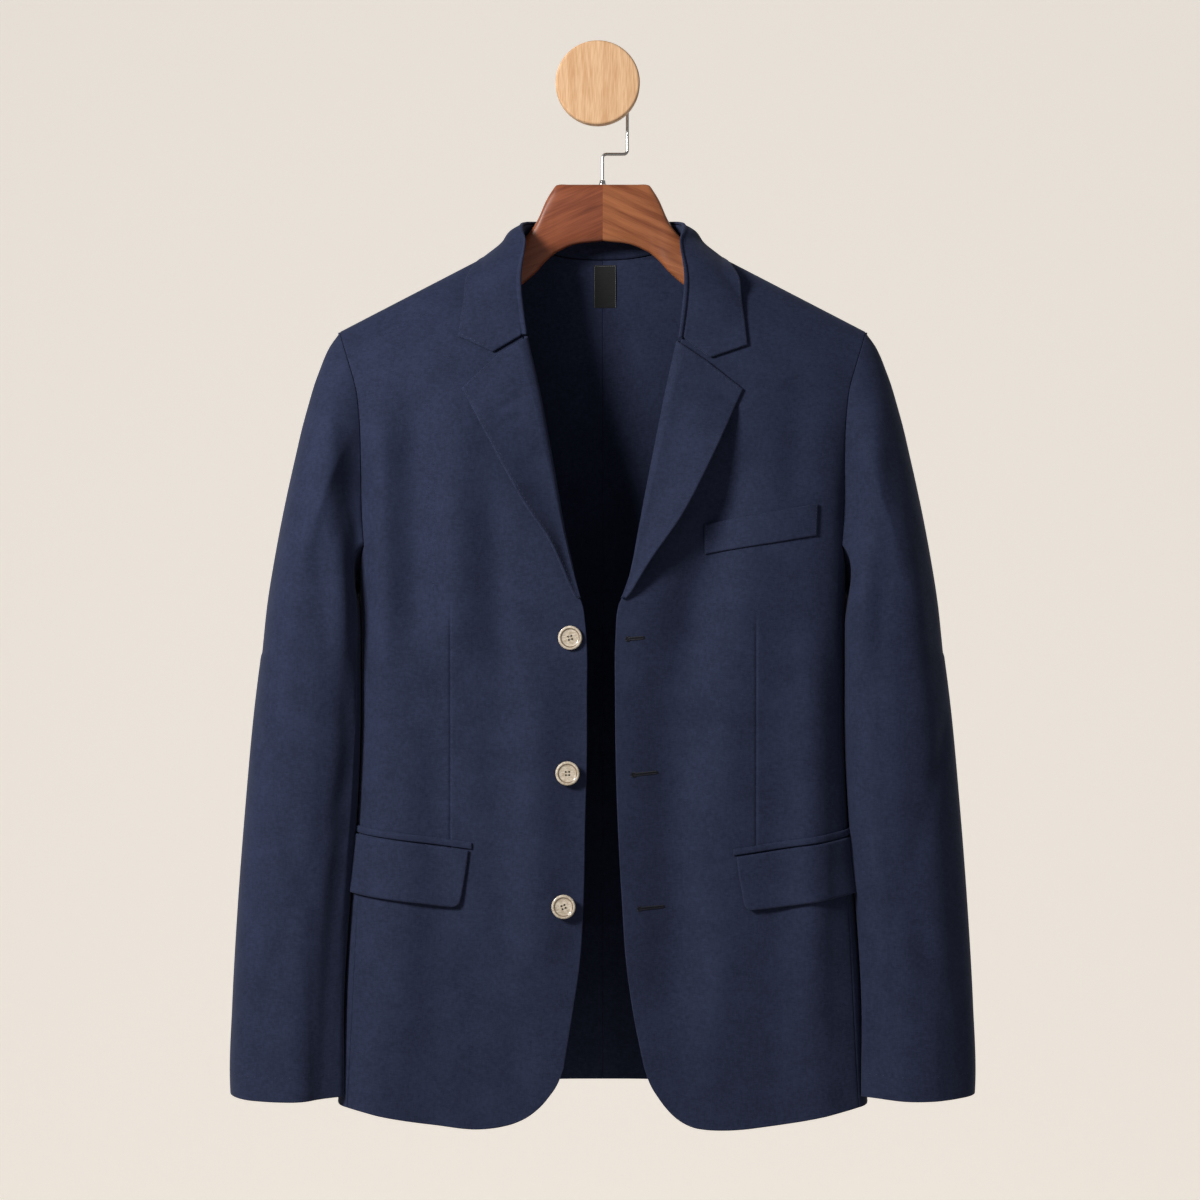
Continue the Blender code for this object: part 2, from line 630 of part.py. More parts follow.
def draw_in(grid, edges, gap):
    """Moves the named edges of a grid towards their next line by a gap."""
    grid = grid.copy()
    pairs = {"first_row": (0, 1, 0), "last_row": (-1, -2, 0), "first_column": (0, 1, 1), "last_column": (-1, -2, 1)}
    for edge in edges:
        at, towards, axis = pairs[edge]
        line = grid[at] if axis == 0 else grid[:, at]
        inner = grid[towards] if axis == 0 else grid[:, towards]
        along = np.gradient(line, axis=0)
        along = along / np.maximum(np.linalg.norm(along, axis=1, keepdims=True), 1e-9)
        step = inner - line
        step = step - along * np.sum(step * along, axis=1, keepdims=True)
        length = np.linalg.norm(step, axis=1, keepdims=True)
        line += step / np.maximum(length, 1e-9) * gap
    return grid


def grid_faces(rows, columns, points):
    """Triangles of a closed wall: outer side, inner side and the four edges, each cell cut along its short way."""
    faces = []
    inner_offset = rows * columns

    def apart(m, n):
        return np.linalg.norm(points[m] - points[n])

    def index(j, i):
        return j * columns + i

    for j in range(rows - 1):
        for i in range(columns - 1):
            a, b, c, d = index(j, i), index(j, i + 1), index(j + 1, i + 1), index(j + 1, i)
            for tri in ((a, b, c), (a, c, d)) if apart(a, c) <= apart(b, d) else ((a, b, d), (b, c, d)):
                faces.append(tri)
                faces.append(tuple(v + inner_offset for v in reversed(tri)))
    rim = [index(0, i) for i in range(columns)]
    rim += [index(j, columns - 1) for j in range(1, rows)]
    rim += [index(rows - 1, i) for i in range(columns - 2, -1, -1)]
    rim += [index(j, 0) for j in range(rows - 2, 0, -1)]
    for k, a in enumerate(rim):
        b = rim[(k + 1) % len(rim)]
        low_a, low_b = a + inner_offset, b + inner_offset
        if apart(a, low_b) <= apart(b, low_a):
            faces += [(a, low_a, low_b), (a, low_b, b)]
        else:
            faces += [(a, low_a, b), (b, low_a, low_b)]
    return faces


def wall_object(name, outer, inner, material):
    """Closed wall between two grids of the same size."""
    rows, columns = outer.shape[:2]
    points = np.concatenate([outer.reshape(-1, 3), inner.reshape(-1, 3)])
    faces = grid_faces(rows, columns, points)
    mesh = bpy.data.meshes.new(name)
    mesh.from_pydata([tuple(p) for p in points], [], faces)
    work = bmesh.new()
    work.from_mesh(mesh)
    bmesh.ops.recalc_face_normals(work, faces=work.faces)
    work.to_mesh(mesh)
    work.free()
    return finish_object(name, mesh, material, smooth_angle=40)


def finish_object(name, mesh, material, smooth_angle=None):
    item = bpy.data.objects.new(name, mesh)
    bpy.context.scene.collection.objects.link(item)
    mesh.materials.append(material)
    if smooth_angle is not None:
        mesh.shade_smooth()
        mesh.set_sharp_from_angle(angle=math.radians(smooth_angle))
    return item


def material(name, colour, roughness, metallic=0.0):
    made = bpy.data.materials.new(name)
    made.use_nodes = True
    shader = made.node_tree.nodes["Principled BSDF"]
    shader.inputs["Base Color"].default_value = (*colour, 1.0)
    shader.inputs["Roughness"].default_value = roughness
    shader.inputs["Metallic"].default_value = metallic
    made.diffuse_color = (*colour, 1.0)
    return made


# ---------------------------------------------------------------- body and sleeves
def make_shell(cloth):
    """Fronts, sides, backs and two-piece sleeves as one quilt, so that every seam is mitred."""
    quilt = Quilt()
    sleeves = {}
    for side in SIDES:
        front = front_grid(side)
        back = back_grid(front)
        side_panel = side_grid(front, back, side)
        loop = armhole_loop(front, side_panel, back)
        sleeve, shares = sleeve_grid(loop)
        flip = side == "right"
        quilt.add(f"front_{side}", placed(front, side), not flip)
        quilt.add(f"side_{side}", placed(side_panel, side), not flip)
        quilt.add(f"back_{side}", placed(back, side), flip)
        quilt.add(f"sleeve_{side}", placed(sleeve, side), not flip)
        sleeves[side] = shares
    cut = {"front": ("last_row", "last_column"), "side": ("first_column", "last_column", "last_row"),
           "back": ("first_column", "last_column", "last_row")}
    for name, (grid, _) in quilt.grids.items():
        outward = quilt.outward(grid)
        inner = grid - outward * CLOTH
        kind, side = name.split("_")
        if kind != "sleeve":
            outer_cut = draw_in(grid, cut[kind], SEAM_GAP * 0.55)
            inner_cut = draw_in(inner, cut[kind], SEAM_GAP * 0.55)
            wall_object(name, outer_cut, inner_cut, cloth)
            continue
        forearm = int(np.argmin(np.abs(sleeves[side] - FOREARM_SEAM)))
        hind = int(np.argmin(np.abs(sleeves[side] - HIND_SEAM)))
        last = grid.shape[1] - 1
        columns = {
            "top_sleeve": list(range(hind, last)) + list(range(0, forearm + 1)),
            "under_sleeve": list(range(forearm, hind + 1)),
        }
        for piece, use in columns.items():
            edges = ("first_row", "first_column", "last_column")
            outer_cut = draw_in(grid[:, use], edges, SEAM_GAP * 0.55)
            inner_cut = draw_in(inner[:, use], edges, SEAM_GAP * 0.55)
            outer_cut[0, :, 0] += SIDES[side] * SEAM_GAP
            inner_cut[0, :, 0] += SIDES[side] * SEAM_GAP
            wall_object(f"{piece}_{side}", outer_cut, inner_cut, cloth)
    return quilt


# ---------------------------------------------------------------- pieces that lie on the body
def facing(grid, towards):
    """Unit directions square to a grid's surface, on the side of the given direction."""
    down = np.gradient(grid, axis=0)
    across = np.gradient(grid, axis=1)
    square = np.cross(down, across)
    square = square / np.maximum(np.linalg.norm(square, axis=2, keepdims=True), 1e-12)
    middle = square[grid.shape[0] // 2, grid.shape[1] // 2]
    return square if np.dot(middle, towards) > 0 else -square


def laid_wall(name, grid, wall, towards, paint, edges=()):
    """Closed wall whose outer face is the grid; wall may differ from column to column."""
    thickness = np.broadcast_to(np.asarray(wall, dtype=float), (grid.shape[1],))[None, :, None]
    inner = grid - facing(grid, towards) * thickness
    return wall_object(name, draw_in(grid, edges, SEAM_GAP * 0.7), draw_in(inner, edges, SEAM_GAP * 0.7), paint)


def blend_patch(first, last, low, high, across):
    """Four-sided patch between two long lines (first, last) and two short ones (low, high)."""
    up = np.linspace(0.0, 1.0, len(first))[:, None, None]
    out = np.asarray(across)[None, :, None]
    grid = (1 - out) * first[:, None] + out * last[:, None] + (1 - up) * low[None] + up * high[None]
    grid = grid - (1 - up) * ((1 - out) * low[0] + out * low[-1])
    return grid - up * ((1 - out) * high[0] + out * high[-1])


def lapel_outline(side, rows):
    """Roll line, outer edge, break end and top line of the lapel, each as (x, z) points."""
    column = 1 if side == "right" else 2
    edge = np.array(LAPEL_EDGE)[:, 0:2] if side == "right" else np.array(LAPEL_EDGE)[:, 2:4]
    (gorge_x, gorge_z), notch = GORGE[side]
    heights = np.linspace(BREAK_Z + LAPEL_TIP, gorge_z, rows)
    roll = np.stack([table_curve(FRONT_INNER, column, heights), heights], axis=1)
    edge_x = np.linspace(edge[0, 0], edge[-1, 0], 60)
    outer = resample(np.stack([edge_x, table_curve(edge, 1, edge_x)], axis=1), rows)
    shares = [0.0] + [share for share, _ in LAPEL_COLUMNS]
    corner = [0.0, COLLAR_NOTCH[0], 1.0]
    high = np.stack([
        np.interp(shares, corner, [roll[-1, 0], notch[0], outer[-1, 0]]),
        np.interp(shares, corner, [roll[-1, 1], notch[1], outer[-1, 1]]),
    ], axis=1)
    low = np.array([roll[0] + (outer[0] - roll[0]) * share for share in shares])
    return roll, outer, low, high, shares


def lapel_grid(side):
    """Lapel: rows from the break to the gorge, columns from the roll to the outer edge."""
    roll, outer, low, high, shares = lapel_outline(side, LAPEL_ROWS)
    flat = blend_patch(roll, outer, low, high, shares)[:, 1:]
    grid = np.zeros((LAPEL_ROWS, len(LAPEL_ROLL) + len(LAPEL_COLUMNS), 3))
    soft = np.clip((roll[:, 1] - BREAK_Z - LAPEL_TIP) / 0.03, 0.0, 1.0)
    flat_lift = LAPEL_COLUMNS[-1][1]
    for i, (out, lift, _) in enumerate(LAPEL_ROLL):
        x, z = roll[:, 0] + out * soft + ROLL_SPREAD[i] * (1.0 - soft), roll[:, 1]
        height = flat_lift + (lift - flat_lift) * soft
        grid[:, i] = np.stack([x, front_y(x, z, side) - height, z], axis=1)
    for i, (_, lift) in enumerate(LAPEL_COLUMNS):
        x, z = flat[:, i, 0], flat[:, i, 1]
        height = flat_lift + (lift - flat_lift) * soft
        grid[:, len(LAPEL_ROLL) + i] = np.stack([x, front_y(x, z, side) - height, z], axis=1)
    return grid


def make_lapels(cloth):
    wall = [thick for _, _, thick in LAPEL_ROLL] + [DOUBLED] * len(LAPEL_COLUMNS)
    for side in SIDES:
        laid_wall(f"lapel_{side}", placed(lapel_grid(side), side), wall, (0, -1, 0), cloth, ("last_row",))


def collar_lines(at):
    """Fold and outer edge of the collar at rows of its table, on one side of the middle."""
    keyed = [(k, *row) for k, row in enumerate(COLLAR)]
    columns = np.stack([table_curve(keyed, c, at) for c in range(1, 7)], axis=-1)
    return columns[..., :3], columns[..., 3:]


def clear_of_body(point, lift):
    """Moves a point out of the body until it lies at least lift above the cloth."""
    x, y, z = point
    if z > float(shoulder_z(x)) + 1.2 * lift:
        return point
    ridge = float(ridge_y(x))
    if y < ridge:
        reach, height = ridge - float(front_y(x, z - 0.12, "left")), FRONT_ROUNDING
    else:
        reach, height = float(back_y(x, z - 0.12)) - ridge, BACK_ROUNDING
    share = abs(y - ridge) / reach
    if share < 0.55:
        surface = float(shoulder_z(x)) - height * (1.0 - math.sqrt(1.0 - share**2))
        return np.array([x, y, max(z, surface + 1.2 * lift)])
    if y < ridge:
        return np.array([x, min(y, float(front_y(x, z, "left")) - lift), z])
    return np.array([x, max(y, float(back_y(x, z)) + lift), z])


def collar_directions(at):
    """Outwards from the fold, and away from the cloth below it: up at the back, forwards at the front."""
    fold, edge = collar_lines(at)
    out = (edge - fold) * np.array([1.0, 1.0, 0.0])
    out = out / np.linalg.norm(out)
    turn = min(1.0, max(0.0, (at - 5.0) / 3.0))
    away = np.array([0.0, -turn, 1.0 - turn])
    away = away - out * np.dot(away, out)
    return out, away / np.linalg.norm(away)


def collar_section(at):
    """One line across the collar, from inside the fold to its outer edge."""
    fold, edge = collar_lines(at)
    out, away = collar_directions(at)
    points = [fold + out * step + away * rise for step, rise, _ in COLLAR_ROLL]
    top = points[-1]
    chord = edge - top
    bulge = away - chord * np.dot(away, chord) / np.dot(chord, chord)
    bulge = bulge / np.linalg.norm(bulge)
    end = max(0.0, (at - 7.2) / 2.8) ** 2
    for share, swell in COLLAR_COLUMNS:
        point = top + chord * share + bulge * swell
        notch = share / COLLAR_NOTCH[0] if share < COLLAR_NOTCH[0] else (1 - share) / (1 - COLLAR_NOTCH[0])
        point[2] -= COLLAR_NOTCH[1] * notch * end
        points.append(clear_of_body(point, COLLAR_LIFT))
    return np.array(points)


def stand_section(at):
    """One line up the neck side of the collar's stand, from the neck seam to just under the fold."""
    fold, _ = collar_lines(at)
    out, away = collar_directions(at)
    if at <= NECK_POINT_ROW:
        x = float(table_curve(NECK_SEAM, 1, at))
        z = float(back_top_z(x))
        foot = np.array([x, float(back_y(x, z)), z + STAND_LIFT]) - out * CLOTH
    else:
        z = float(table_curve(NECK_SEAM, 2, at))
        x = float(front_inner_x(z, "left"))
        foot = np.array([x, float(front_y(x, z, "left")), z]) - out * (CLOTH + 3 * CLEAR)
    top = fold + out * 0.0002 - away * 0.0034
    return np.array([foot + (top - foot) * share for share in (0.0, 0.5, 1.0)])


def mirrored_rows(section, last_row):
    """Rows from the right front end round the back of the neck to the left front end."""
    rows = np.linspace(0.0, last_row, int(round(last_row * COLLAR_STEPS)) + 1)
    left = [section(at) for at in rows]
    right = [line * np.array([-1.0, 1.0, 1.0]) for line in reversed(left[1:])]
    grid = np.array(right + left)
    grid[..., 0] += CENTRE_X
    return grid


def make_collar(cloth):
    fall = mirrored_rows(collar_section, len(COLLAR) - 1.0)
    wall = [thick for _, _, thick in COLLAR_ROLL] + [DOUBLED] * len(COLLAR_COLUMNS)
    laid_wall("collar_fall", fall, wall, (0, 1, 0), cloth, ("first_row", "last_row"))
    stand = mirrored_rows(stand_section, STAND_END_ROW)
    laid_wall("collar_stand", stand, CLOTH, (0, -1, 0), cloth)


def body_patch(side, start_x, run, rows):
    """Grid on the body: each row is (height at its inner end, set-in, rise for each metre); run is its length."""
    grid = []
    for z_start, set_in, rise in rows:
        line = []
        for along in set_in + run * (1.0 - set_in / run[-1]):
            z = z_start + rise * along
            line.append(body_on_arc(z, side, arc_of_x(z, side, start_x, "front") + along))
        grid.append(line)
    return np.array(grid)


def lifted(grid, lift, side):
    """A grid on the wearer's side, moved out square to its surface."""
    world = placed(grid, side)
    return world + facing(world, (0, -1, 0)) * lift


def make_pockets(cloth):
    for side in SIDES:
        start_x, top_z, rise, drop = FLAP[side]
        run = np.linspace(0.0, FLAP_LENGTH, 18)
        rows = [(top_z - drop * share, set_in, rise) for share, set_in in FLAP_ROWS]
        flap = body_patch(side, start_x, run, rows)
        laid_wall(f"flap_{side}", lifted(flap, FLAP_LIFT, side), DOUBLED, (0, -1, 0), cloth)
        jet_foot = top_z + 2 * CLEAR
        jet = body_patch(side, start_x - 0.0026, run, [(jet_foot + JET_HEIGHT, 0.0, rise), (jet_foot, 0.0, rise)])
        laid_wall(f"jet_{side}", lifted(jet, JET_LIFT, side), CLOTH, (0, -1, 0), cloth)
    top_in, top_out, low_out, low_in = np.array(WELT)
    across = np.linspace(0.0, 1.0, 6)[None, :, None]
    down = np.linspace(0.0, 1.0, 3)[:, None, None]
    flat = (1 - down) * (top_in + (top_out - top_in) * across) + down * (low_in + (low_out - low_in) * across)
    welt = np.stack([flat[..., 0], front_y(flat[..., 0], flat[..., 1], "left"), flat[..., 1]], axis=2)
    laid_wall("chest_welt", lifted(welt, FLAP_LIFT, "left"), DOUBLED, (0, -1, 0), cloth)


# ---------------------------------------------------------------- turned and bent hard pieces
def turned_object(name, profile, segments, place, paint, smooth_angle=40):
    """Solid turned round the y axis from (y, radius) points; both ends lie on the axis."""
    mesh = bpy.data.meshes.new(name)
    work = bmesh.new()
    rings = []
    for y, radius in profile:
        if radius == 0.0:
            rings.append([work.verts.new((place[0], place[1] + y, place[2]))])
            continue
        ring = []
        for k in range(segments):
            angle = 2 * math.pi * k / segments
            ring.append(work.verts.new((
                place[0] + radius * math.cos(angle), place[1] + y, place[2] + radius * math.sin(angle),
            )))
        rings.append(ring)
    for first, second in zip(rings, rings[1:]):
        for k in range(segments):
            n = (k + 1) % segments
            if len(first) == 1:
                work.faces.new((first[0], second[k], second[n]))
            elif len(second) == 1:
                work.faces.new((first[n], first[k], second[0]))
            else:
                work.faces.new((first[n], first[k], second[k], second[n]))
    bmesh.ops.recalc_face_normals(work, faces=work.faces)
    work.to_mesh(mesh)
    work.free()
    return finish_object(name, mesh, paint, smooth_angle)


def make_buttons(horn):
    rim, half = BUTTON_RADIUS, BUTTON_THICKNESS
    profile = (
        (0.0, 0.0), (0.0, rim * 0.86), (-half * 0.30, rim), (-half * 0.72, rim), (-half, rim * 0.92),
        (-half, rim * 0.76), (-half * 0.70, rim * 0.66), (-half * 0.70, 0.0),
    )
    for number, (x, z) in enumerate(BUTTONS, start=1):
        out = abs(x)
        y = min(float(front_y(out + dx, z, "right")) for dx in (-rim, 0.0, rim)) - CLEAR
        turned_object(f"button_{number}", profile, 20, (CENTRE_X + x, y, z), horn)


def wire_object(name, points, radius, paint):
    """Round wire through a line of points, with flat closed ends."""
    curve = bpy.data.curves.new(name, "CURVE")
    curve.dimensions = "3D"
    curve.bevel_depth = radius
    curve.bevel_resolution = 2
    curve.use_fill_caps = True
    spline = curve.splines.new("POLY")
    spline.points.add(len(points) - 1)
    for item, point in zip(spline.points, points):
        item.co = (*point, 1.0)
    item = bpy.data.objects.new(name, curve)
    bpy.context.scene.collection.objects.link(item)
    curve.materials.append(paint)
    return item


def arc_points(centre, radius, start, end, count):
    angles = [math.radians(start + (end - start) * k / (count - 1)) for k in range(count)]
    return [(centre[0] + radius * math.cos(a), HOOK_Y, centre[1] + radius * math.sin(a)) for a in angles]


def make_hook(steel):
    """Wire hook over the peg's stem, stepped over to the hanger's middle, with its ferrule."""
    centre = (0.0, HOOK_CENTRE_Z)
    step_x, low_x = HOOK_RADIUS, CENTRE_X - 0.0002
    points = arc_points(centre, HOOK_RADIUS, 206, 0, 22)
    points.append((step_x, HOOK_Y, HOOK_STEP_Z + HOOK_BEND + 0.008))
    points += arc_points((step_x - HOOK_BEND, HOOK_STEP_Z + HOOK_BEND), HOOK_BEND, 0, -90, 6)
    points += arc_points((low_x + HOOK_BEND, HOOK_STEP_Z - HOOK_BEND), HOOK_BEND, 90, 180, 6)
    points.append((low_x, HOOK_Y, HANGER_TOP_Z + FERRULE_HEIGHT + 3 * SEAM_GAP))
    wire_object("hook", points, HOOK_WIRE_RADIUS, steel)
    mesh = bpy.data.meshes.new("ferrule")
    work = bmesh.new()
    bmesh.ops.create_cone(work, cap_ends=True, segments=16, radius1=FERRULE_RADIUS, radius2=FERRULE_RADIUS * 0.8,
                          depth=FERRULE_HEIGHT)
    bmesh.ops.translate(work, verts=work.verts, vec=(low_x, HOOK_Y, HANGER_TOP_Z + FERRULE_HEIGHT / 2 + SEAM_GAP))
    work.to_mesh(mesh)
    work.free()
    finish_object("ferrule", mesh, steel, 40)


def make_peg(beech):
    front, back, edge = PEG_DISC_FRONT_Y, PEG_DISC_FRONT_Y + PEG_DISC_THICKNESS, PEG_EDGE
    stem, disc = PEG_STEM_RADIUS, PEG_DISC_RADIUS
    bend = [math.radians(a) for a in (0, 45, 90)]
    profile = [(0.0, 0.0), (0.0, stem), (back + 0.004, stem), (back + 0.001, stem + 0.001), (back, stem + 0.004)]
    profile += [(back - edge * (1 - math.cos(a)), disc - edge * (1 - math.sin(a))) for a in bend]
    profile += [(front + edge * (1 - math.sin(a)), disc - edge * (1 - math.cos(a))) for a in bend]
    profile.append((front, 0.0))
    turned_object("wall_peg", profile, 36, (0.0, 0.0, 0.0), beech)


def hanger_section(x):
    """Section of the hanger at a distance from the middle: (y, z) points round it, front top first."""
    top, low, thick, mid_y = (float(table_curve(HANGER_OUTLINE, column, x)) for column in (1, 2, 3, 4))
    points = []
    square = 0.6 + 0.4 * min(1.0, max(0.0, (x - 0.055) / 0.035))
    for k in range(HANGER_AROUND):
        angle = 2 * math.pi * (k + 0.5) / HANGER_AROUND
        y = mid_y + 0.5 * thick * math.copysign(abs(math.cos(angle)) ** square, math.cos(angle))
        z = 0.5 * (top + low) + 0.5 * (top - low) * math.copysign(abs(math.sin(angle)) ** square, math.sin(angle))
        points.append((y, z))
    return points


def make_hanger(wood):
    """Two halves of a suit hanger, glued at the middle: each is a tapering arm under the shoulder line."""
    for side, sign in SIDES.items():
        mesh = bpy.data.meshes.new(f"hanger_{side}")
        work = bmesh.new()
        rings = []
        for x in HANGER_STATIONS:
            rings.append([work.verts.new((CENTRE_X + sign * x, y, z)) for y, z in hanger_section(x)])
        for first, second in zip(rings, rings[1:]):
            for k in range(HANGER_AROUND):
                n = (k + 1) % HANGER_AROUND
                work.faces.new((first[k], first[n], second[n], second[k]))
        work.faces.new(rings[0])
        work.faces.new(rings[-1])
        bmesh.ops.recalc_face_normals(work, faces=work.faces)
        work.to_mesh(mesh)
        work.free()
        finish_object(f"hanger_{side}", mesh, wood, 40)


def make_neck_tab(tape):
    """Blank tape sewn to the inside of the back below the neck seam."""
    x = np.linspace(-TAB_WIDTH / 2, TAB_WIDTH / 2, 3)[None, :]
    z = np.linspace(TAB_TOP_Z, TAB_TOP_Z - TAB_HEIGHT, 4)[:, None]
    x, z = np.broadcast_arrays(x, z)
    y = back_y(np.abs(x), z) - CLOTH - CLEAR
    grid = np.stack([TAB_X + x, y, z], axis=2)
    laid_wall("neck_tab", grid, TAB_THICKNESS, (0, 1, 0), tape)


def clear_scene():
    for item in list(bpy.data.objects):
        bpy.data.objects.remove(item, do_unlink=True)


def main():
    clear_scene()
    cloth = material("navy_cloth", (0.021, 0.028, 0.060), 0.85)
    turned_cloth = material("navy_turned_cloth", (0.024, 0.031, 0.066), 0.85)
    horn = material("greige_horn", (0.45, 0.37, 0.29), 0.40)
    tape = material("black_tape", (0.025, 0.026, 0.030), 0.70)
    wood = material("brown_varnished_wood", (0.27, 0.080, 0.030), 0.30)
    beech = material("pale_beech", (0.77, 0.47, 0.26), 0.50)
    steel = material("bright_steel", (0.62, 0.61, 0.59), 0.22, 1.0)
    make_shell(cloth)
    make_lapels(turned_cloth)
    make_collar(turned_cloth)
    make_pockets(turned_cloth)
    make_buttons(horn)
    make_neck_tab(tape)
    make_hanger(wood)
    make_hook(steel)
    make_peg(beech)


main()
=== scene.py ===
"""Looks of the hanging blazer: dense cloth shells on the CAD walls' own forms, with wood, steel and horn."""

import functools
import math

import bmesh
import bpy
import numpy as np
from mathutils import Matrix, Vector


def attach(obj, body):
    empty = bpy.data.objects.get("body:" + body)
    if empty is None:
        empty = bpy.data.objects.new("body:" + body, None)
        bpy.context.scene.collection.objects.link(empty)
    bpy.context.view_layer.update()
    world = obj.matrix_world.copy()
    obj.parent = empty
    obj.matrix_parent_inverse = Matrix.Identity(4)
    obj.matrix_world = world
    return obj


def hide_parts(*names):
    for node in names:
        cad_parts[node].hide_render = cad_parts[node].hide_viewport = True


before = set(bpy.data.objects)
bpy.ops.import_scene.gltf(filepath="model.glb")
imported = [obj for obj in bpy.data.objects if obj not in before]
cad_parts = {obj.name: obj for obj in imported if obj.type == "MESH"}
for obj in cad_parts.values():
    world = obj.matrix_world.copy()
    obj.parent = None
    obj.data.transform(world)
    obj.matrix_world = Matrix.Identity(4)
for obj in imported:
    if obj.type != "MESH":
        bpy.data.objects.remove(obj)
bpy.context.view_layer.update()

# ---------------------------------------------------------------- driving dimensions
CENTRE_X = 0.0044          # middle plane of the coat and hanger
CLOTH = 0.0015             # wall of the body and sleeves
DOUBLED = 0.0024           # wall of turned pieces: lapels, collar, flaps
SEAM_GAP = 0.0003          # between two sewn pieces
CLEAR = 0.0004             # between a piece and the piece it lies on

SHOULDER_X = 0.2311        # shoulder point from the middle plane
SHOULDER_Z = -0.2183
SHOULDER_SLOPE = 0.53      # drop of the shoulder line for each metre out
NECK_POINT_X = 0.0745      # where the shoulder seam meets the collar
RIDGE_Y = -0.0400          # shoulder line at the neck
RIDGE_FORWARD = 0.10       # the hanger's arms lean forward by this slope
FRONT_ROUNDING = 0.120     # height over which the front rounds over the shoulder
BACK_ROUNDING = 0.070

BACK_NECK_Z = -0.1510      # back neck seam at the middle
BACK_NECK_RISE = 0.0157
BACK_HEM_Z = -0.8810
UNDERARM_Z = -0.4460
UNDERARM_SPREAD_Z = -0.3900  # below this the sleeve keeps clear of the body's side

# Body sections: height, half width, front depth, back depth, squareness
BODY = (
    (-0.920, 0.2330, -0.1195, -0.0150, 6.5),
    (-0.868, 0.2295, -0.1200, -0.0140, 6.5),
    (-0.815, 0.2275, -0.1200, -0.0130, 6.5),
    (-0.709, 0.2190, -0.1200, -0.0120, 6.5),
    (-0.656, 0.2145, -0.1190, -0.0130, 6.5),
    (-0.590, 0.2110, -0.1180, -0.0150, 6.5),
    (-0.500, 0.2105, -0.1180, -0.0140, 6.5),
    (-0.440, 0.2115, -0.1165, -0.0120, 6.0),
    (-0.380, 0.2125, -0.1120, -0.0115, 5.5),
    (-0.334, 0.2160, -0.1080, -0.0115, 5.0),
    (-0.297, 0.2240, -0.1050, -0.0115, 4.5),
    (-0.269, 0.2350, -0.1010, -0.0115, 4.5),
    (-0.247, 0.2500, -0.0985, -0.0120, 4.5),
    (-0.205, 0.2700, -0.0920, -0.0120, 4.5),
    (-0.140, 0.3000, -0.0800, -0.0125, 4.5),
)
# Seam between front and side panel, then the front of the armhole: height, distance from the middle plane
FRONT_OUTER = (
    (-0.920, 0.2225),
    (-0.850, 0.2185),
    (-0.727, 0.2125),
    (-0.620, 0.2065),
    (-0.500, 0.2050),
    (-0.425, 0.2060),
    (-0.375, 0.2095),
    (-0.334, 0.2102),
    (-0.297, 0.2115),
    (-0.269, 0.2150),
    (-0.247, 0.2215),
    (-0.218, 0.2311),
)
# Seam between back and side panel, then the back of the armhole
BACK_OUTER = (
    (-0.920, 0.2060),
    (-0.850, 0.2020),
    (-0.700, 0.1940),
    (-0.560, 0.1880),
    (-0.410, 0.1930),
    (-0.360, 0.1945),
    (-0.310, 0.1975),
    (-0.270, 0.2050),
    (-0.240, 0.2170),
    (-0.218, 0.2311),
)
# Front edge up to the break, then the roll line, then the neck seam: height, wearer's right, wearer's left
FRONT_INNER = (
    (-0.8560, 0.0335, 0.0355),
    (-0.8137, 0.0267, 0.0269),
    (-0.7672, 0.0198, 0.0203),
    (-0.7122, 0.0164, 0.0165),
    (-0.6433, 0.0150, 0.0128),
    (-0.5917, 0.0136, 0.0112),
    (-0.5401, 0.0135, 0.0106),
    (-0.4884, 0.0139, 0.0108),
    (-0.4592, 0.0170, 0.0132),
    (-0.4324, 0.0239, 0.0227),
    (-0.3936, 0.0325, 0.0305),
    (-0.3590, 0.0385, 0.0370),
    (-0.3154, 0.0462, 0.0455),
    (-0.2719, 0.0545, 0.0543),
    (-0.2225, 0.0655, 0.0650),
    (-0.2000, 0.0695, 0.0695),
    (-0.1700, 0.0728, 0.0728),
    (-0.1353, 0.0745, 0.0745),
)
BREAK_Z = -0.4592
ROLL_INSET = 0.0045        # the front's own edge lies this far inside the lapel's fold
# Rounded front corner and hem: right x, right z, left x, left z, both from the middle plane
FRONT_HEM = (
    (0.0335, -0.8560, 0.0355, -0.8560),
    (0.0372, -0.8665, 0.0392, -0.8670),
    (0.0471, -0.8825, 0.0484, -0.8833),
    (0.0608, -0.8963, 0.0596, -0.8970),
    (0.0746, -0.9040, 0.0762, -0.9075),
    (0.0884, -0.9078, 0.0884, -0.9098),
    (0.1021, -0.9095, 0.1010, -0.9104),
    (0.1450, -0.9060, 0.1450, -0.9070),
    (0.1925, -0.8985, 0.1930, -0.8985),
    (0.2225, -0.8920, 0.2225, -0.8920),
)

# Lapel: outer edge from the break up to the point: right x, right z, left x, left z
LAPEL_EDGE = (
    (0.0235, -0.4520, 0.0200, -0.4530),
    (0.0420, -0.4085, 0.0350, -0.4270),
    (0.0680, -0.3690, 0.0729, -0.3715),
    (0.0975, -0.3160, 0.0966, -0.3250),
    (0.1223, -0.2705, 0.1215, -0.2714),
)
# Across the lapel: share of the way out, height of its outer face above the front
LAPEL_COLUMNS = ((0.12, 0.0062), (0.27, 0.0058), (0.45, 0.0050), (0.72, 0.0040), (1.00, 0.0031))
# The roll that joins the lapel to the front: distance out from the fold, height above the front, wall
LAPEL_ROLL = ((0.0035, -0.0015, 0.0015), (0.0010, -0.0010, 0.0017), (0.0000, 0.0016, 0.0021))
ROLL_SPREAD = (0.0, 0.0003, 0.0006)  # the roll's lines lie side by side where it ends at the break
LAPEL_TIP = 0.0070         # the lapel starts this far above the break

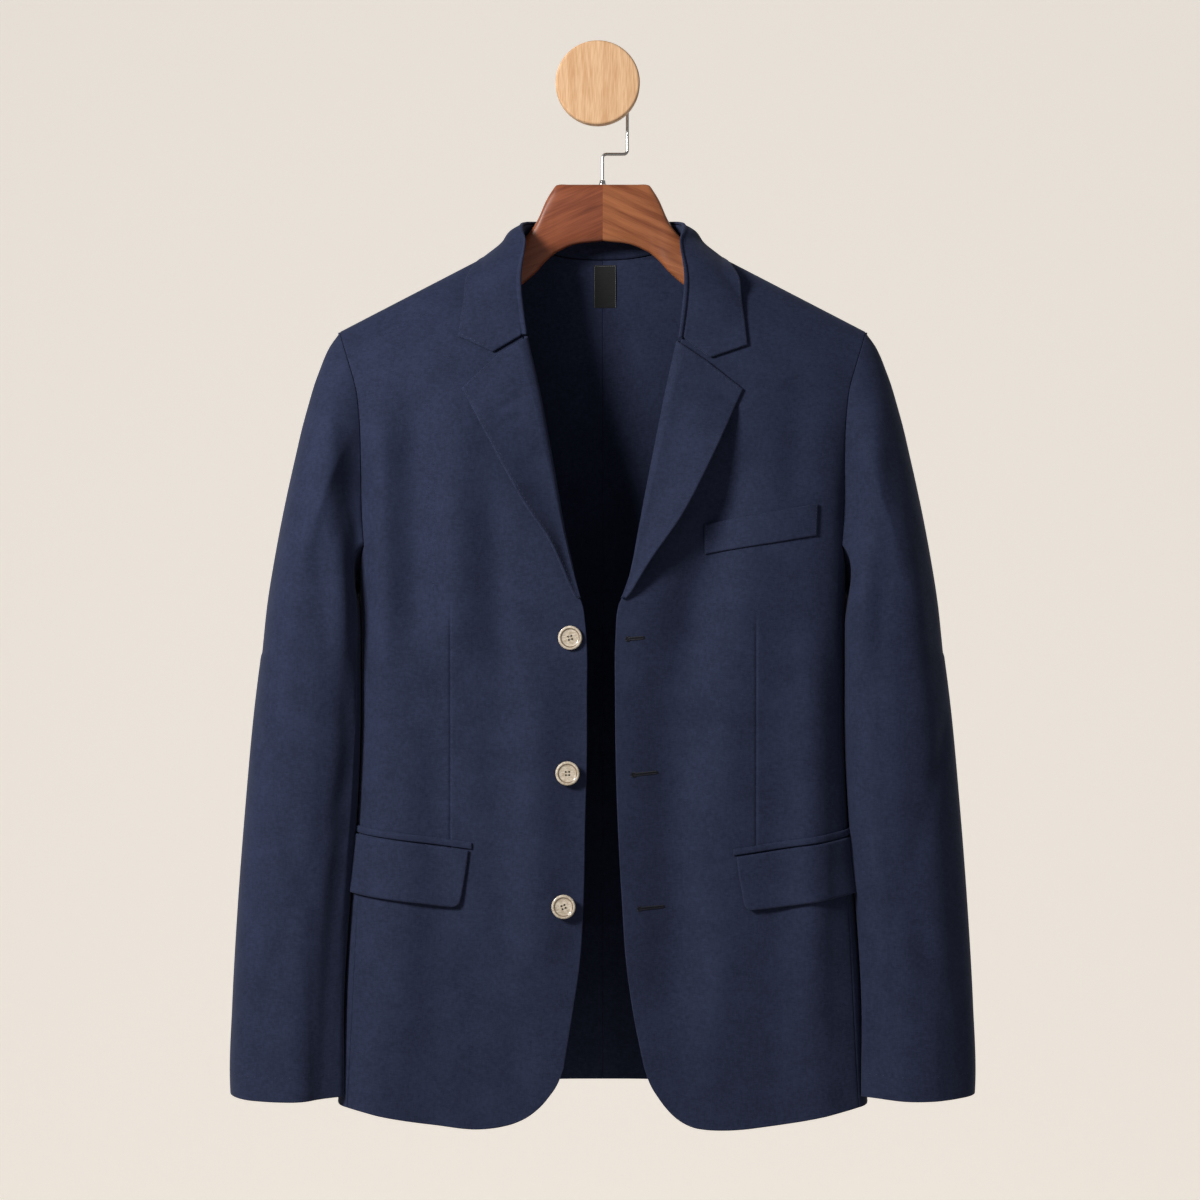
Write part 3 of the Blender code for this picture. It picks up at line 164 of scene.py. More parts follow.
# Collar: fold x, y, z, then outer edge x, y, z, from the middle of the back to the front end
COLLAR = (
    (0.0000, -0.0160, -0.1170, 0.0000, -0.0065, -0.1640),
    (0.0220, -0.0168, -0.1171, 0.0340, -0.0065, -0.1640),
    (0.0420, -0.0215, -0.1174, 0.0660, -0.0070, -0.1632),
    (0.0580, -0.0310, -0.1182, 0.0930, -0.0120, -0.1600),
    (0.0670, -0.0440, -0.1200, 0.1110, -0.0300, -0.1525),
    (0.0702, -0.0560, -0.1235, 0.1155, -0.0500, -0.1545),
    (0.0712, -0.0680, -0.1320, 0.1180, -0.0640, -0.1665),
    (0.0712, -0.0790, -0.1470, 0.1200, -0.0740, -0.1800),
    (0.0710, -0.0870, -0.1660, 0.1222, -0.0820, -0.1950),
    (0.0700, -0.0925, -0.1880, 0.1240, -0.0870, -0.2090),
    (0.0655, -0.0985, -0.2225, 0.1257, -0.0925, -0.2245),
)
# Neck seam under the collar, by the collar table's rows: row, x (back) and height (front)
NECK_SEAM = (
    (0, 0.0000, -0.1353),
    (1, 0.0245, -0.1353),
    (2, 0.0467, -0.1353),
    (3, 0.0645, -0.1353),
    (4, 0.0745, -0.1353),
    (5, 0.0745, -0.1480),
    (6, 0.0745, -0.1600),
    (7, 0.0745, -0.1730),
    (8, 0.0745, -0.1870),
    (9, 0.0745, -0.2040),
    (10, 0.0745, -0.2260),
)
NECK_POINT_ROW = 4.0
STAND_END_ROW = 9.5
STAND_LIFT = 0.0006        # between the neck seam's edge and the stand
# The collar's roll: out from the fold, up from it, wall
COLLAR_ROLL = (
    (0.0000, -0.0018, 0.0014),
    (0.0009, -0.0003, 0.0014),
    (0.0030, -0.0003, 0.0016),
    (0.0046, -0.0019, 0.0020),
)
# Across the collar: share of the way from the roll to the edge, bulge outwards
COLLAR_COLUMNS = ((0.20, 0.0020), (0.45, 0.0030), (0.72, 0.0020), (1.00, 0.0))
# The collar's notch: share of the way out along the front edge, and how far it lies below the chord
COLLAR_NOTCH = (0.45, 0.0148)
COLLAR_LIFT = 0.0036       # least height of the collar's outer face above the coat
COLLAR_END_ROWS = (6.5, 3.5)  # the front ends' own shape starts at this row, over this many rows
COLLAR_TURN_ROWS = (5.0, 3.0)  # the collar turns from lying on the back to lying on the front
COLLAR_NOTCH_ROWS = (7.2, 2.8)  # the notch forms
STAND_UNDER_FOLD = (0.0002, 0.0034)  # the stand's top: out from the fold, down from it

# Pockets: corners given as distance from the middle plane and height
FLAP_LENGTH = 0.138
# Flap: inner end x, height of its top there, rise for each metre outwards, drop
FLAP = {"right": (0.1152, -0.6692, 0.128, 0.0505), "left": (0.1148, -0.6748, 0.150, 0.0480)}
JET_HEIGHT = 0.0060
JET_LIFT = 0.0023          # height of the jet's face above the front
JET_OVERLAP = 0.0026       # how far the jet reaches past the flap's inner end
JET_SWELL = 0.0005
FLAP_LIFT = 0.0036         # height of the flap's face above the front
WELT_LIFT = 0.0026
WELT_END_LIFT = 0.0006     # the welt is this much higher between its sewn ends
WELT = ((0.0869, -0.3888), (0.1858, -0.3711), (0.1844, -0.3986), (0.0880, -0.4146))

BUTTON_RADIUS = 0.0104
BUTTON_THICKNESS = 0.0036
BUTTONS = ((-0.0281, -0.4865), (-0.0303, -0.6028), (-0.0337, -0.7170))

# Sleeve rings: height, inner x, outer x, front y, back y
SLEEVE = (
    (-0.476, 0.2165, 0.2948, -0.1240, -0.0160),
    (-0.542, 0.2155, 0.3034, -0.1250, -0.0170),
    (-0.630, 0.2190, 0.3116, -0.1250, -0.0190),
    (-0.718, 0.2262, 0.3180, -0.1255, -0.0260),
    (-0.806, 0.2298, 0.3225, -0.1270, -0.0350),
    (-0.872, 0.2322, 0.3240, -0.1285, -0.0430),
    (-0.892, 0.2335, 0.3228, -0.1290, -0.0450),
)
SLEEVE_POWER_IN = 3.6      # squareness of the half of the sleeve's section that lies along the body
CUFF_DROP = 0.0025         # the cuff is lower at its middle than at its corners
FOREARM_SEAM = 0.44        # share of the way round from the shoulder point, forwards
HIND_SEAM = 0.79

# Soft folds of the front: x, z at the top, x, z at the bottom, half width, depth (ridge +, trough -)
FRONT_FOLDS = {
    "right": (
        (0.1900, -0.5200, 0.1950, -0.8900, 0.0220, 0.0028),
        (0.1400, -0.5600, 0.1420, -0.9000, 0.0220, -0.0028),
        (0.0850, -0.4600, 0.0800, -0.8200, 0.0220, -0.0024),
    ),
    "left": (
        (0.1780, -0.5200, 0.1900, -0.8900, 0.0220, 0.0026),
        (0.1450, -0.6200, 0.1500, -0.9000, 0.0220, -0.0026),
        (0.0700, -0.4600, 0.0650, -0.8000, 0.0220, -0.0022),
    ),
}
BACK_FOLDS = (
    (0.0950, -0.3800, 0.1250, -0.8800, 0.0220, 0.0026),
    (0.0450, -0.4600, 0.0500, -0.8800, 0.0170, -0.0028),
    (0.1600, -0.5000, 0.1750, -0.8800, 0.0150, -0.0026),
)
# Folds of the sleeves: share round, height at the top, share round, height at the bottom, half width, depth
SLEEVE_FOLDS = (
    (0.20, -0.330, 0.32, -0.520, 0.030, -0.0040),
    (0.10, -0.560, 0.26, -0.690, 0.030, -0.0035),
    (0.70, -0.480, 0.84, -0.640, 0.035, -0.0035),
    (0.36, -0.600, 0.22, -0.760, 0.028, -0.0030),
)

# Neck tab
TAB_X = 0.0065
TAB_WIDTH = 0.0200
TAB_HEIGHT = 0.0380
TAB_TOP_Z = -0.1555
TAB_THICKNESS = 0.0010
TAB_RIB = 0.00012          # height of its woven ribs
TAB_RIB_SPACING = 0.0019

# Hanger
HANGER_TOP_Z = -0.0868
# Distance from the middle, height of the top, height of the underside, thickness, middle y
HANGER_OUTLINE = (
    (0.0000, -0.0868, -0.1365, 0.0140, -0.0400),
    (0.0300, -0.0868, -0.1415, 0.0140, -0.0400),
    (0.0385, -0.0868, -0.1456, 0.0140, -0.0400),
    (0.0405, -0.0872, -0.1466, 0.0140, -0.0400),
    (0.0422, -0.0884, -0.1477, 0.0140, -0.0400),
    (0.0436, -0.0905, -0.1488, 0.0139, -0.0401),
    (0.0500, -0.1010, -0.1545, 0.0135, -0.0404),
    (0.0570, -0.1170, -0.1625, 0.0128, -0.0412),
    (0.0720, -0.1366, -0.1760, 0.0120, -0.0424),
    (0.0860, -0.1444, -0.1850, 0.0150, -0.0428),
    (0.1200, -0.1620, -0.2040, 0.0220, -0.0450),
    (0.1700, -0.1885, -0.2280, 0.0260, -0.0500),
    (0.2000, -0.2046, -0.2370, 0.0270, -0.0530),
    (0.2130, -0.2150, -0.2340, 0.0180, -0.0543),
)
HANGER_SQUARE = (0.6, 0.055, 0.035)  # squareness at the middle; it softens from this distance, over this one
HANGER_END_X = 0.2130
HANGER_END_EASE = 0.0030   # length over which each arm's end is rounded
HANGER_AROUND = 56         # points round its section
# Distances of its sections from the middle
HANGER_STATIONS = np.concatenate([
    [0.0], np.linspace(0.0012, 0.2095, 150), [0.2108, 0.2118, 0.2125, HANGER_END_X]])
HOOK_WIRE_RADIUS = 0.0014
HOOK_RADIUS = 0.0262
HOOK_CENTRE_Z = -0.0113
HOOK_STEP_Z = -0.0598
HOOK_BEND = 0.0035
HOOK_Y = -0.0400
FERRULE_RADIUS = 0.0032
FERRULE_HEIGHT = 0.0036
# Wall peg
PEG_STEM_RADIUS = 0.0130
PEG_DISC_RADIUS = 0.0370
PEG_DISC_FRONT_Y = -0.0650
PEG_DISC_THICKNESS = 0.0150
PEG_EDGE = 0.0022

SIDES = {"right": -1.0, "left": 1.0}

# ---------------------------------------------------------------- finer lines and creases of the cloth
FINER = 6                  # rows for each row of the solids
# Dart line of each front: x, z at its foot (the pocket), x, z at its point
DART = {"right": (0.1313, -0.6560, 0.1313, -0.4540), "left": (0.1320, -0.6540, 0.1320, -0.4640)}
SLEEVE_ROUND_OUT = 2.3     # roundness of the outer half of the visible sleeve's section
SLEEVE_ROUND_FRONT = 1.9   # and of its front towards the body
SLEEVE_BESIDE = 0.0008     # how far the sleeve hangs from the body's side
LEAVE_PULL = 0.75          # how strongly the sleeve head keeps the armhole's direction, for its reach
ARRIVE_PULL = 1.1          # and how strongly it turns into the hanging sleeve
# Creases of the fronts: x, z at the top, x, z at the foot, half width, depth (ridge +, trough -)
FRONT_CREASES = {
    "right": (
        (0.1640, -0.2500, 0.1600, -0.5200, 0.0170, -0.0078),
        (0.1940, -0.2620, 0.1870, -0.5600, 0.0110, 0.0034),
        (0.1240, -0.2480, 0.1270, -0.5400, 0.0170, 0.0040),
        (0.0960, -0.3300, 0.0880, -0.5400, 0.0140, -0.0040),
        (0.0600, -0.4700, 0.0560, -0.8400, 0.0260, 0.0085),
        (0.1640, -0.5200, 0.1720, -0.8950, 0.0170, 0.0026),
        (0.1160, -0.7300, 0.1040, -0.9400, 0.0180, -0.0030),
    ),
    "left": (
        (0.1700, -0.2500, 0.1640, -0.3900, 0.0160, -0.0030),
        (0.1820, -0.4200, 0.1780, -0.9000, 0.0150, 0.0042),
        (0.1180, -0.4000, 0.1040, -0.6600, 0.0200, 0.0030),
        (0.1180, -0.3100, 0.0640, -0.5400, 0.0260, -0.0125),
        (0.0560, -0.4700, 0.0640, -0.8700, 0.0300, -0.0105),
        (0.1000, -0.7200, 0.0900, -0.9300, 0.0180, 0.0028),
    ),
}
BACK_CREASES = (
    (0.1600, -0.2500, 0.1400, -0.4700, 0.0200, -0.0085),
    (0.0850, -0.2300, 0.0750, -0.4700, 0.0220, 0.0060),
    (0.1150, -0.5000, 0.0900, -0.7800, 0.0200, -0.0070),
    (0.1600, -0.4800, 0.1560, -0.8700, 0.0190, 0.0055),
    (0.0420, -0.5600, 0.0560, -0.8900, 0.0210, 0.0060),
)
SLEEVE_FOLD_EASE = 0.4     # the solids' sleeve folds show this strongly
# Creases of the sleeves: share round, height at the top, share round, height at the foot, half width, depth
SLEEVE_CREASES = {
    "right": (
        (0.19, -0.380, 0.21, -0.600, 0.060, 0.0016),
        (0.315, -0.400, 0.300, -0.900, 0.050, 0.0068),
        (0.12, -0.700, 0.14, -0.840, 0.050, 0.0018),
    ),
    "left": (
        (0.325, -0.400, 0.310, -0.900, 0.055, 0.0062),
        (0.13, -0.380, 0.13, -0.860, 0.060, -0.0042),
        (0.21, -0.620, 0.26, -0.780, 0.050, -0.0016),
    ),
}
# The fullness just outside the front of the armhole: x, z at the top, x, z at the foot, half width, depth
SLEEVE_HEAD_FOLDS = {
    "right": ((0.2380, -0.2450, 0.2290, -0.5400, 0.0110, 0.0060),),
    "left": ((0.2380, -0.2450, 0.2290, -0.5400, 0.0110, 0.0048),),
}
# Outline of the sleeve head: height, distance from the middle plane
SLEEVE_HEAD_OUTLINE = (
    (-0.5100, 0.2982), (-0.4890, 0.2962), (-0.4540, 0.2925), (-0.4189, 0.2872), (-0.3838, 0.2810),
    (-0.3488, 0.2739), (-0.3251, 0.2687), (-0.3040, 0.2640), (-0.2830, 0.2584), (-0.2619, 0.2522),
    (-0.2514, 0.2484), (-0.2409, 0.2445), (-0.2304, 0.2393), (-0.2198, 0.2316),
)
SLEEVE_HEAD_ROWS = np.concatenate([[0.0, 0.004, 0.010, 0.018, 0.028], np.linspace(0.04, 1.0, 34)[:-1]])
SLEEVE_RING_ROWS = np.concatenate([np.linspace(0.0, 0.988, 104), [0.992, 0.995, 0.9972, 0.9986, 0.9994, 1.0]])
# Faint creases of the lapels: x, z at the top, x, z at the foot, half width, depth
LAPEL_CREASES = {
    "right": (
        (0.1010, -0.2960, 0.0630, -0.2740, 0.0045, -0.0010),
        (0.1020, -0.3120, 0.0600, -0.2880, 0.0050, -0.0009),
        (0.0850, -0.3450, 0.0560, -0.3150, 0.0070, 0.0007),
    ),
    "left": (
        (0.1000, -0.2950, 0.0620, -0.3060, 0.0120, 0.0006),
    ),
}
FLAP_CORNER = 0.0072       # radius of the flap's lower corners
FLAP_SLANT = ((0.0, 0.35, 0.70, 1.0), (0.0, 0.0022, 0.0050, 0.0076))  # share down, set-in of the inner end
FLAP_CURL = 0.0014         # how far its lower edge stands off
FLAP_RIPPLE = 0.0012
FLAP_SAG = {"right": 0.0006, "left": 0.0010}
FLAP_WAVE = {"right": 0.35, "left": 0.6}
BUTTON_TURN = (14.0, 3.0, 22.0)  # degrees each button is turned about its own axis
BUTTON_HOLE_RING = 0.0020  # distance of each of its four holes from its middle
# Section of a button from its back to its face: depth and radius, as shares of its own
BUTTON_PROFILE = (
    (0.0, 0.0), (0.0, 0.84), (0.12, 0.93), (0.35, 0.99), (0.60, 1.0), (0.84, 0.975), (0.97, 0.93),
    (1.0, 0.88), (0.98, 0.81), (0.88, 0.75), (0.76, 0.70), (0.71, 0.62), (0.70, 0.45), (0.69, 0.0),
)
BUTTON_DISH = 0.70         # depth of its dished middle
BUTTON_RING = (0.72, 0.82)  # the darker ring on its face, as shares of its radius
# Section of a sunk hole's lining: distance from the dished middle, radius
BUTTON_HOLE_PROFILE = (
    (0.0002, 0.0), (0.0002, 0.00085), (-0.00010, 0.00085),
    (-0.00018, 0.00072), (-0.00004, 0.00056), (-0.00003, 0.0),
)
THREAD_RADIUS = 0.00014
THREAD_RISE = 0.0003       # how far the button's thread stands off at its middle
FLOOR_Z = -1.75
BACKDROP_Y = 3.95
# The collar's front end on each side: how much lower than the table its fold and its edge end,
# and the notch's share of the way out
COLLAR_END = {"right": (0.0012, 0.0000, 0.45), "left": (0.0040, 0.0078, 0.42)}
# How far the collar's sides are drawn in: height, distance
COLLAR_DRAWN_IN = (
    (-0.1900, 0.0), (-0.1695, 0.0010), (-0.1590, 0.0042), (-0.1487, 0.0082),
    (-0.1380, 0.0096), (-0.1277, 0.0024), (-0.1150, 0.0),
)
# Top line of each lapel: height of the gorge at the roll, then the notch
LAPEL_TOP = {"right": (-0.2252, (0.0915, -0.2412)), "left": (-0.2290, (0.0900, -0.2470))}
# Keyhole buttonholes of the left front: x, z of the eyelet, x, z of the far end
BUTTONHOLES = (
    (0.0216, -0.4876, 0.0345, -0.4866),
    (0.0265, -0.6046, 0.0459, -0.6029),
    (0.0318, -0.7199, 0.0519, -0.7186),
)
HOLE_EYE = 0.0014          # radius of a buttonhole's eyelet
HOLE_SLOT = 0.00045        # half width of its slot
PURL_SPACING = 0.00042
PURL_RADIUS = 0.00021
BAR_RADIUS = 0.00022
PURL_REACH = (-0.0001, 0.0002, 0.0006, 0.0010, 0.0012)  # a purl stitch, from the slot's rim outwards
PURL_RISE = (-0.0003, 0.00028, 0.00032, 0.00018, -0.0003)  # and its height above the cloth
DART_WIDTH = 0.0011
DART_DEPTH = 0.0009
DART_FULLNESS = 0.008      # half width of the cloth's fullness beside the dart
CUFF_RISE = 0.0100         # the visible sleeves end this far above the table's last row
CUFF_STITCH_Z = -0.8620    # line of the sleeve hem's stitches
# Stitches: spacing, length, radius
EDGE_STITCH = (0.0040, 0.0021, 0.00017)
WELT_STITCH = (0.0026, 0.0015, 0.00017)
CUFF_STITCH = (0.0062, 0.0014, 0.00016)
TAB_STITCH = (0.0019, 0.0012, 0.00020)
EDGE_STITCH_INSET = 0.0026  # how far in from the edge each of them runs
WELT_STITCH_INSET = 0.0016
TAB_STITCH_INSET = 0.0007
# Section of the ferrule upwards: rise and radius, as shares of its own
FERRULE_PROFILE = (
    (0.0, 0.0), (0.0, 1.0), (0.12, 1.0), (0.22, 0.93), (0.55, 0.84),
    (0.86, 0.80), (0.97, 0.72), (1.0, 0.58), (1.0, 0.0),
)
FRONTWARDS = (0.0, -1.0, 0.0)
BACKWARDS = (0.0, 1.0, 0.0)


# ---------------------------------------------------------------- small helpers
def smooth(share):
    """Eases a share from 0 to 1, level at both ends."""
    return share * share * (3 - 2 * share)


def unit(vectors, least=1e-12):
    """The same directions with a length of one."""
    return vectors / np.maximum(np.linalg.norm(vectors, axis=-1, keepdims=True), least)


def run_along(points):
    """Distance of each point from the first, along the line through them."""
    return np.concatenate([[0.0], np.cumsum(np.linalg.norm(np.diff(points, axis=0), axis=1))])


def hermite(t, start, leave, end, arrive):
    """Cubic between two values with the given slopes at its ends."""
    return (
        (2 * t**3 - 3 * t**2 + 1) * start + (t**3 - 2 * t**2 + t) * leave
        + (3 * t**2 - 2 * t**3) * end + (t**3 - t**2) * arrive
    )


def table_curve(rows, column, at, key=0):
    """Smooth curve through a table's column, read against its key column."""
    data = np.array(rows, dtype=float)
    keys = data[:, key]
    values = data[:, column]
    slopes = np.gradient(values, keys)
    at = np.clip(np.asarray(at, dtype=float), keys[0], keys[-1])
    i = np.clip(np.searchsorted(keys, at) - 1, 0, len(keys) - 2)
    width = keys[i + 1] - keys[i]
    t = (at - keys[i]) / width
    return hermite(t, values[i], width * slopes[i], values[i + 1], width * slopes[i + 1])


def soft_line_folds(folds, x, z):
    """Sum of soft troughs and ridges that run along straight lines and fade at their ends."""
    total = np.zeros(np.broadcast(x, z).shape)
    for x0, z0, x1, z1, half_width, depth in folds:
        along = np.clip((z0 - z) / (z0 - z1), -0.3, 1.3)
        off = (x - (x0 + (x1 - x0) * along)) / half_width
        fade = np.clip((along + 0.3) / 0.5, 0, 1) * np.clip((1.6 - along) / 0.4, 0, 1)
        total = total + depth * np.exp(-off**2) * smooth(fade)
    return total


def dart_groove(x, z, side):
    """Depth of the sewn dart: a fine groove, the cloth a little full beside it, running out at its point."""
    low_x, low_z, high_x, high_z = DART[side]
    rise = (z - low_z) / (high_z - low_z)
    off = np.abs(x - (low_x + (high_x - low_x) * rise))
    ease = np.clip((1.0 - rise) / 0.12, 0.0, 1.0) * np.clip((rise + 0.12) / 0.05, 0.0, 1.0)
    groove = DART_DEPTH * np.exp(-((off / DART_WIDTH) ** 2))
    fullness = 0.5 * DART_DEPTH * np.exp(-((off / DART_FULLNESS) ** 2))
    return ease * (groove - fullness)


def line_folds(folds, x, z):
    """Sum of creases along straight lines of any direction, each easing to nothing at both its ends."""
    total = np.zeros(np.broadcast(x, z).shape)
    for x0, z0, x1, z1, half_width, depth in folds:
        reach = math.hypot(x1 - x0, z1 - z0)
        along = ((x - x0) * (x1 - x0) + (z - z0) * (z1 - z0)) / reach**2
        off = ((x - x0) * (z1 - z0) - (z - z0) * (x1 - x0)) / (reach * half_width)
        ease = np.clip(np.minimum(along, 1.0 - along) / 0.3, 0.0, 1.0)
        total = total + depth * np.exp(-off**2) * smooth(ease)
    return total


def resample(points, count):
    """Points spread evenly by length along a line through the given points."""
    points = np.asarray(points, dtype=float)
    run = run_along(points)
    at = np.linspace(0.0, run[-1], count)
    return np.stack([np.interp(at, run, points[:, k]) for k in range(points.shape[1])], axis=1)


# ---------------------------------------------------------------- body surface, x from the middle plane
def shoulder_z(x):
    return SHOULDER_Z + SHOULDER_SLOPE * (SHOULDER_X - x)


def ridge_y(x):
    return RIDGE_Y - RIDGE_FORWARD * np.maximum(0.0, x - 0.07)


def rounding(x, z, height):
    drop = np.clip((shoulder_z(x) - z) / height, 0.0, 1.0)
    return np.sqrt(1.0 - (1.0 - drop) ** 2)


def section_share(x, z):
    width = table_curve(BODY, 1, z)
    power = table_curve(BODY, 4, z)
    return (1.0 - np.clip(x / width, 0.0, 1.0) ** power) ** (1.0 / power)


def front_y(x, z, side):
    x = np.asarray(x, dtype=float)
    base = ridge_y(x)
    deep = table_curve(BODY, 2, z)
    y = base + (deep - base) * section_share(x, z) * rounding(x, z, FRONT_ROUNDING)
    folds = soft_line_folds(FRONT_FOLDS[side], x, z) + line_folds(FRONT_CREASES[side], x, z)
    return y - (folds - dart_groove(x, z, side)) * np.clip((0.2 - x) / 0.02 + 0.6, 0, 1)


def back_y(x, z):
    x = np.asarray(x, dtype=float)
    base = ridge_y(x)
    deep = table_curve(BODY, 3, z)
    y = base + (deep - base) * section_share(x, z) * rounding(x, z, BACK_ROUNDING)
    folds = soft_line_folds(BACK_FOLDS, x, z) + line_folds(BACK_CREASES, x, z)
    return y + folds * np.clip((0.185 - x) / 0.02 + 0.6, 0, 1)


@functools.cache
def body_arc(z, side, samples=121):
    """Section of the body at one height, from the front middle to the back middle, with its run of length."""
    width = float(table_curve(BODY, 1, z))
    turn = np.linspace(0.0, math.pi / 2, samples)
    x = width * np.sin(turn) ** (2.0 / float(table_curve(BODY, 4, z)))
    flat = np.linspace(0.0, x[1], 12)[1:-1]
    x = np.concatenate([[0.0], flat, x[1:]])
    front = np.stack([x, front_y(x, z, side)], axis=1)
    back = np.stack([x, back_y(x, z)], axis=1)[::-1]
    line = np.concatenate([front, back[1:]])
    return line, run_along(line), len(front)


def placed(points, side):
    """Turns points measured outwards from the middle plane into world points on the wearer's side."""
    out = np.array(points, dtype=float)
    out[..., 0] = CENTRE_X + SIDES[side] * out[..., 0]
    return out


# ---------------------------------------------------------------- panels as dense grids of points
# Rows below the shoulder seam, closer together where the panel rounds over the shoulder
ROW_DROPS = (0.0, 0.0022, 0.0085, 0.0190, 0.0340, 0.0540, 0.0790, 0.1080, 0.1400, 0.1720, 0.2050)
PANEL_HEIGHT = 0.705
BREAK_LEVEL = 0.5283       # the row that meets the front edge at the break
CORNER_SHARE = 0.16        # up to this row the columns follow the rounded front corner
ROWS_BELOW_BREAK = 11
ROWS_ABOVE_BREAK = 5


def meets(edge_of, row_z, start):
    """Where a row's line crosses an edge that is given as x for each height."""
    x = start
    for _ in range(26):
        x = 0.5 * x + 0.5 * float(edge_of(row_z(x)))
    return x


def row_levels():
    """Shares of the panel's height from the hem to the shoulder, FINER rows for each row of the solids."""
    upper = [1.0 - drop / PANEL_HEIGHT for drop in ROW_DROPS]
    lower = np.linspace(0.0, BREAK_LEVEL, ROWS_BELOW_BREAK + 1)[:-1]
    middle = np.linspace(BREAK_LEVEL, upper[-1], ROWS_ABOVE_BREAK + 1)[:-1]
    coarse = np.concatenate([lower, middle, upper[::-1]])
    last = len(coarse) - 1
    fine = np.interp(np.linspace(0, last, last * FINER + 1), range(last + 1), coarse)
    hem = np.array([0.0, 0.0005, 0.0012, 0.0022, 0.0036])
    return np.concatenate([hem, fine[fine > 0.005]])


LEVELS = row_levels()
ARM_ROW = len(LEVELS) - 1 - (len(ROW_DROPS) - 1) * FINER


def clustered(count, near, spots=(0.0, 1.0)):
    """Shares from 0 to 1 with extra lines close to the given spots."""
    shares = list(np.linspace(0.0, 1.0, count))
    for spot in spots:
        shares = [s for s in shares if abs(s - spot) > near[-1] * 1.4 or s in (0.0, 1.0)]
        for step in near:
            shares += [s for s in (spot - step, spot + step) if 0.0 < s < 1.0]
        if 0.0 < spot < 1.0:
            shares.append(spot)
    return np.array(sorted(set(shares)))


def front_inner_x(z, side):
    """Front edge, then the strip inside the lapel's fold, then the neck seam."""
    column = 1 if side == "right" else 2
    x = table_curve(FRONT_INNER, column, z)
    fold = np.clip((z - BREAK_Z) / 0.03, 0.0, 1.0) * np.clip((-0.1480 - z) / 0.04, 0.0, 1.0)
    return x + ROLL_INSET * fold


def hem_points(side):
    """Points spread evenly along the front's hem, from the front edge round the corner to the side seam."""
    first = 0 if side == "right" else 2
    hem = np.array(FRONT_HEM)[:, first:first + 2]
    steps = [np.linspace(a, b, 8, endpoint=False) for a, b in zip(hem[:, 0], hem[1:, 0])]
    x = np.concatenate([*steps, hem[-1:, 0]])
    return resample(np.stack([x, table_curve(hem, 1, x)], axis=1), 401)


EDGE_STEPS = (0.0012, 0.0028, 0.0050, 0.0085, 0.0140)
DART_STEPS = (0.0022, 0.0048, 0.0085, 0.0150)
FRONT_SHARES = clustered(62, EDGE_STEPS, (0.0, 1.0))
DART_SHARE = 0.61


def front_shares():
    shares = [s for s in FRONT_SHARES if abs(s - DART_SHARE) > 0.02]
    for step in (0.0, *DART_STEPS):
        shares += [DART_SHARE - step, DART_SHARE + step]
    return np.array(sorted(set(shares)))


def front_grid(side):
    """Front panel: rows from hem to shoulder, columns from the front edge to the side seam and armhole."""
    hem = hem_points(side)
    shares = front_shares()
    hem_x = np.interp(shares**1.25, np.linspace(0.0, 1.0, len(hem)), hem[:, 0])
    corner = (hem_x - hem_x[0]) / (hem_x[-1] - hem_x[0])
    dart_low_x, dart_low_z, dart_high_x, dart_high_z = DART[side]
    grid = np.zeros((len(LEVELS), len(shares), 3))
    for j, level in enumerate(LEVELS):

        def row_z(x):
            foot = np.interp(x, hem[:, 0], hem[:, 1])
            return foot + level * (shoulder_z(x) - foot)

        if level == 0.0:
            x_in, x_out = hem_x[0], hem_x[-1]
        elif level == 1.0:
            x_in, x_out = NECK_POINT_X, SHOULDER_X
        else:
            x_in = meets(lambda z: front_inner_x(z, side), row_z, 0.04)
            x_out = meets(lambda z: table_curve(FRONT_OUTER, 1, z), row_z, 0.21)
        rise = np.clip((float(row_z(0.13)) - dart_low_z) / (dart_high_z - dart_low_z), -0.4, 1.6)
        dart = ((dart_low_x + (dart_high_x - dart_low_x) * rise) - x_in) / (x_out - x_in)
        even = np.interp(shares, [0.0, DART_SHARE, 1.0], [0.0, min(0.75, max(0.45, dart)), 1.0])
        blend = smooth(min(1.0, level / CORNER_SHARE))
        x = x_in + (x_out - x_in) * (corner * (1.0 - blend) + even * blend)
        z = row_z(x)
        grid[j] = np.stack([x, front_y(x, z, side), z], axis=1)
    return grid


def back_top_z(x):
    """Back neck seam inside the neck point, shoulder line outside it."""
    neck = BACK_NECK_Z + BACK_NECK_RISE * np.clip(x / NECK_POINT_X, 0.0, 1.0) ** 2.5
    return np.where(x < NECK_POINT_X, neck, shoulder_z(x))


def back_grid(front):
    """Back panel: same rows; its shoulder columns repeat the front's points along the shoulder seam."""
    close = [0.0, 0.0003, 0.0007, 0.0013, 0.0022]
    neck_x = np.concatenate([close, np.linspace(0.004, NECK_POINT_X, 24)[:-1]])
    top_x = np.concatenate([neck_x, front[-1, :, 0]])
    share_top = top_x / SHOULDER_X
    even = clustered(len(top_x), EDGE_STEPS)
    even = np.interp(np.linspace(0, len(even) - 1, len(top_x)), range(len(even)), even)
    grid = np.zeros((len(LEVELS), len(top_x), 3))
    for j, level in enumerate(LEVELS):

        def row_z(x):
            return BACK_HEM_Z + level * (back_top_z(x) - BACK_HEM_Z)

        x_out = SHOULDER_X if level == 1.0 else meets(lambda z: table_curve(BACK_OUTER, 1, z), row_z, 0.2)
        blend = level**3
        x = x_out * (share_top * blend + even * (1.0 - blend))
        z = row_z(x)
        grid[j] = np.stack([x, back_y(x, z), z], axis=1)
    grid[-1, :, 1] = np.where(top_x < NECK_POINT_X, grid[-1, :, 1], ridge_y(top_x))
    return grid


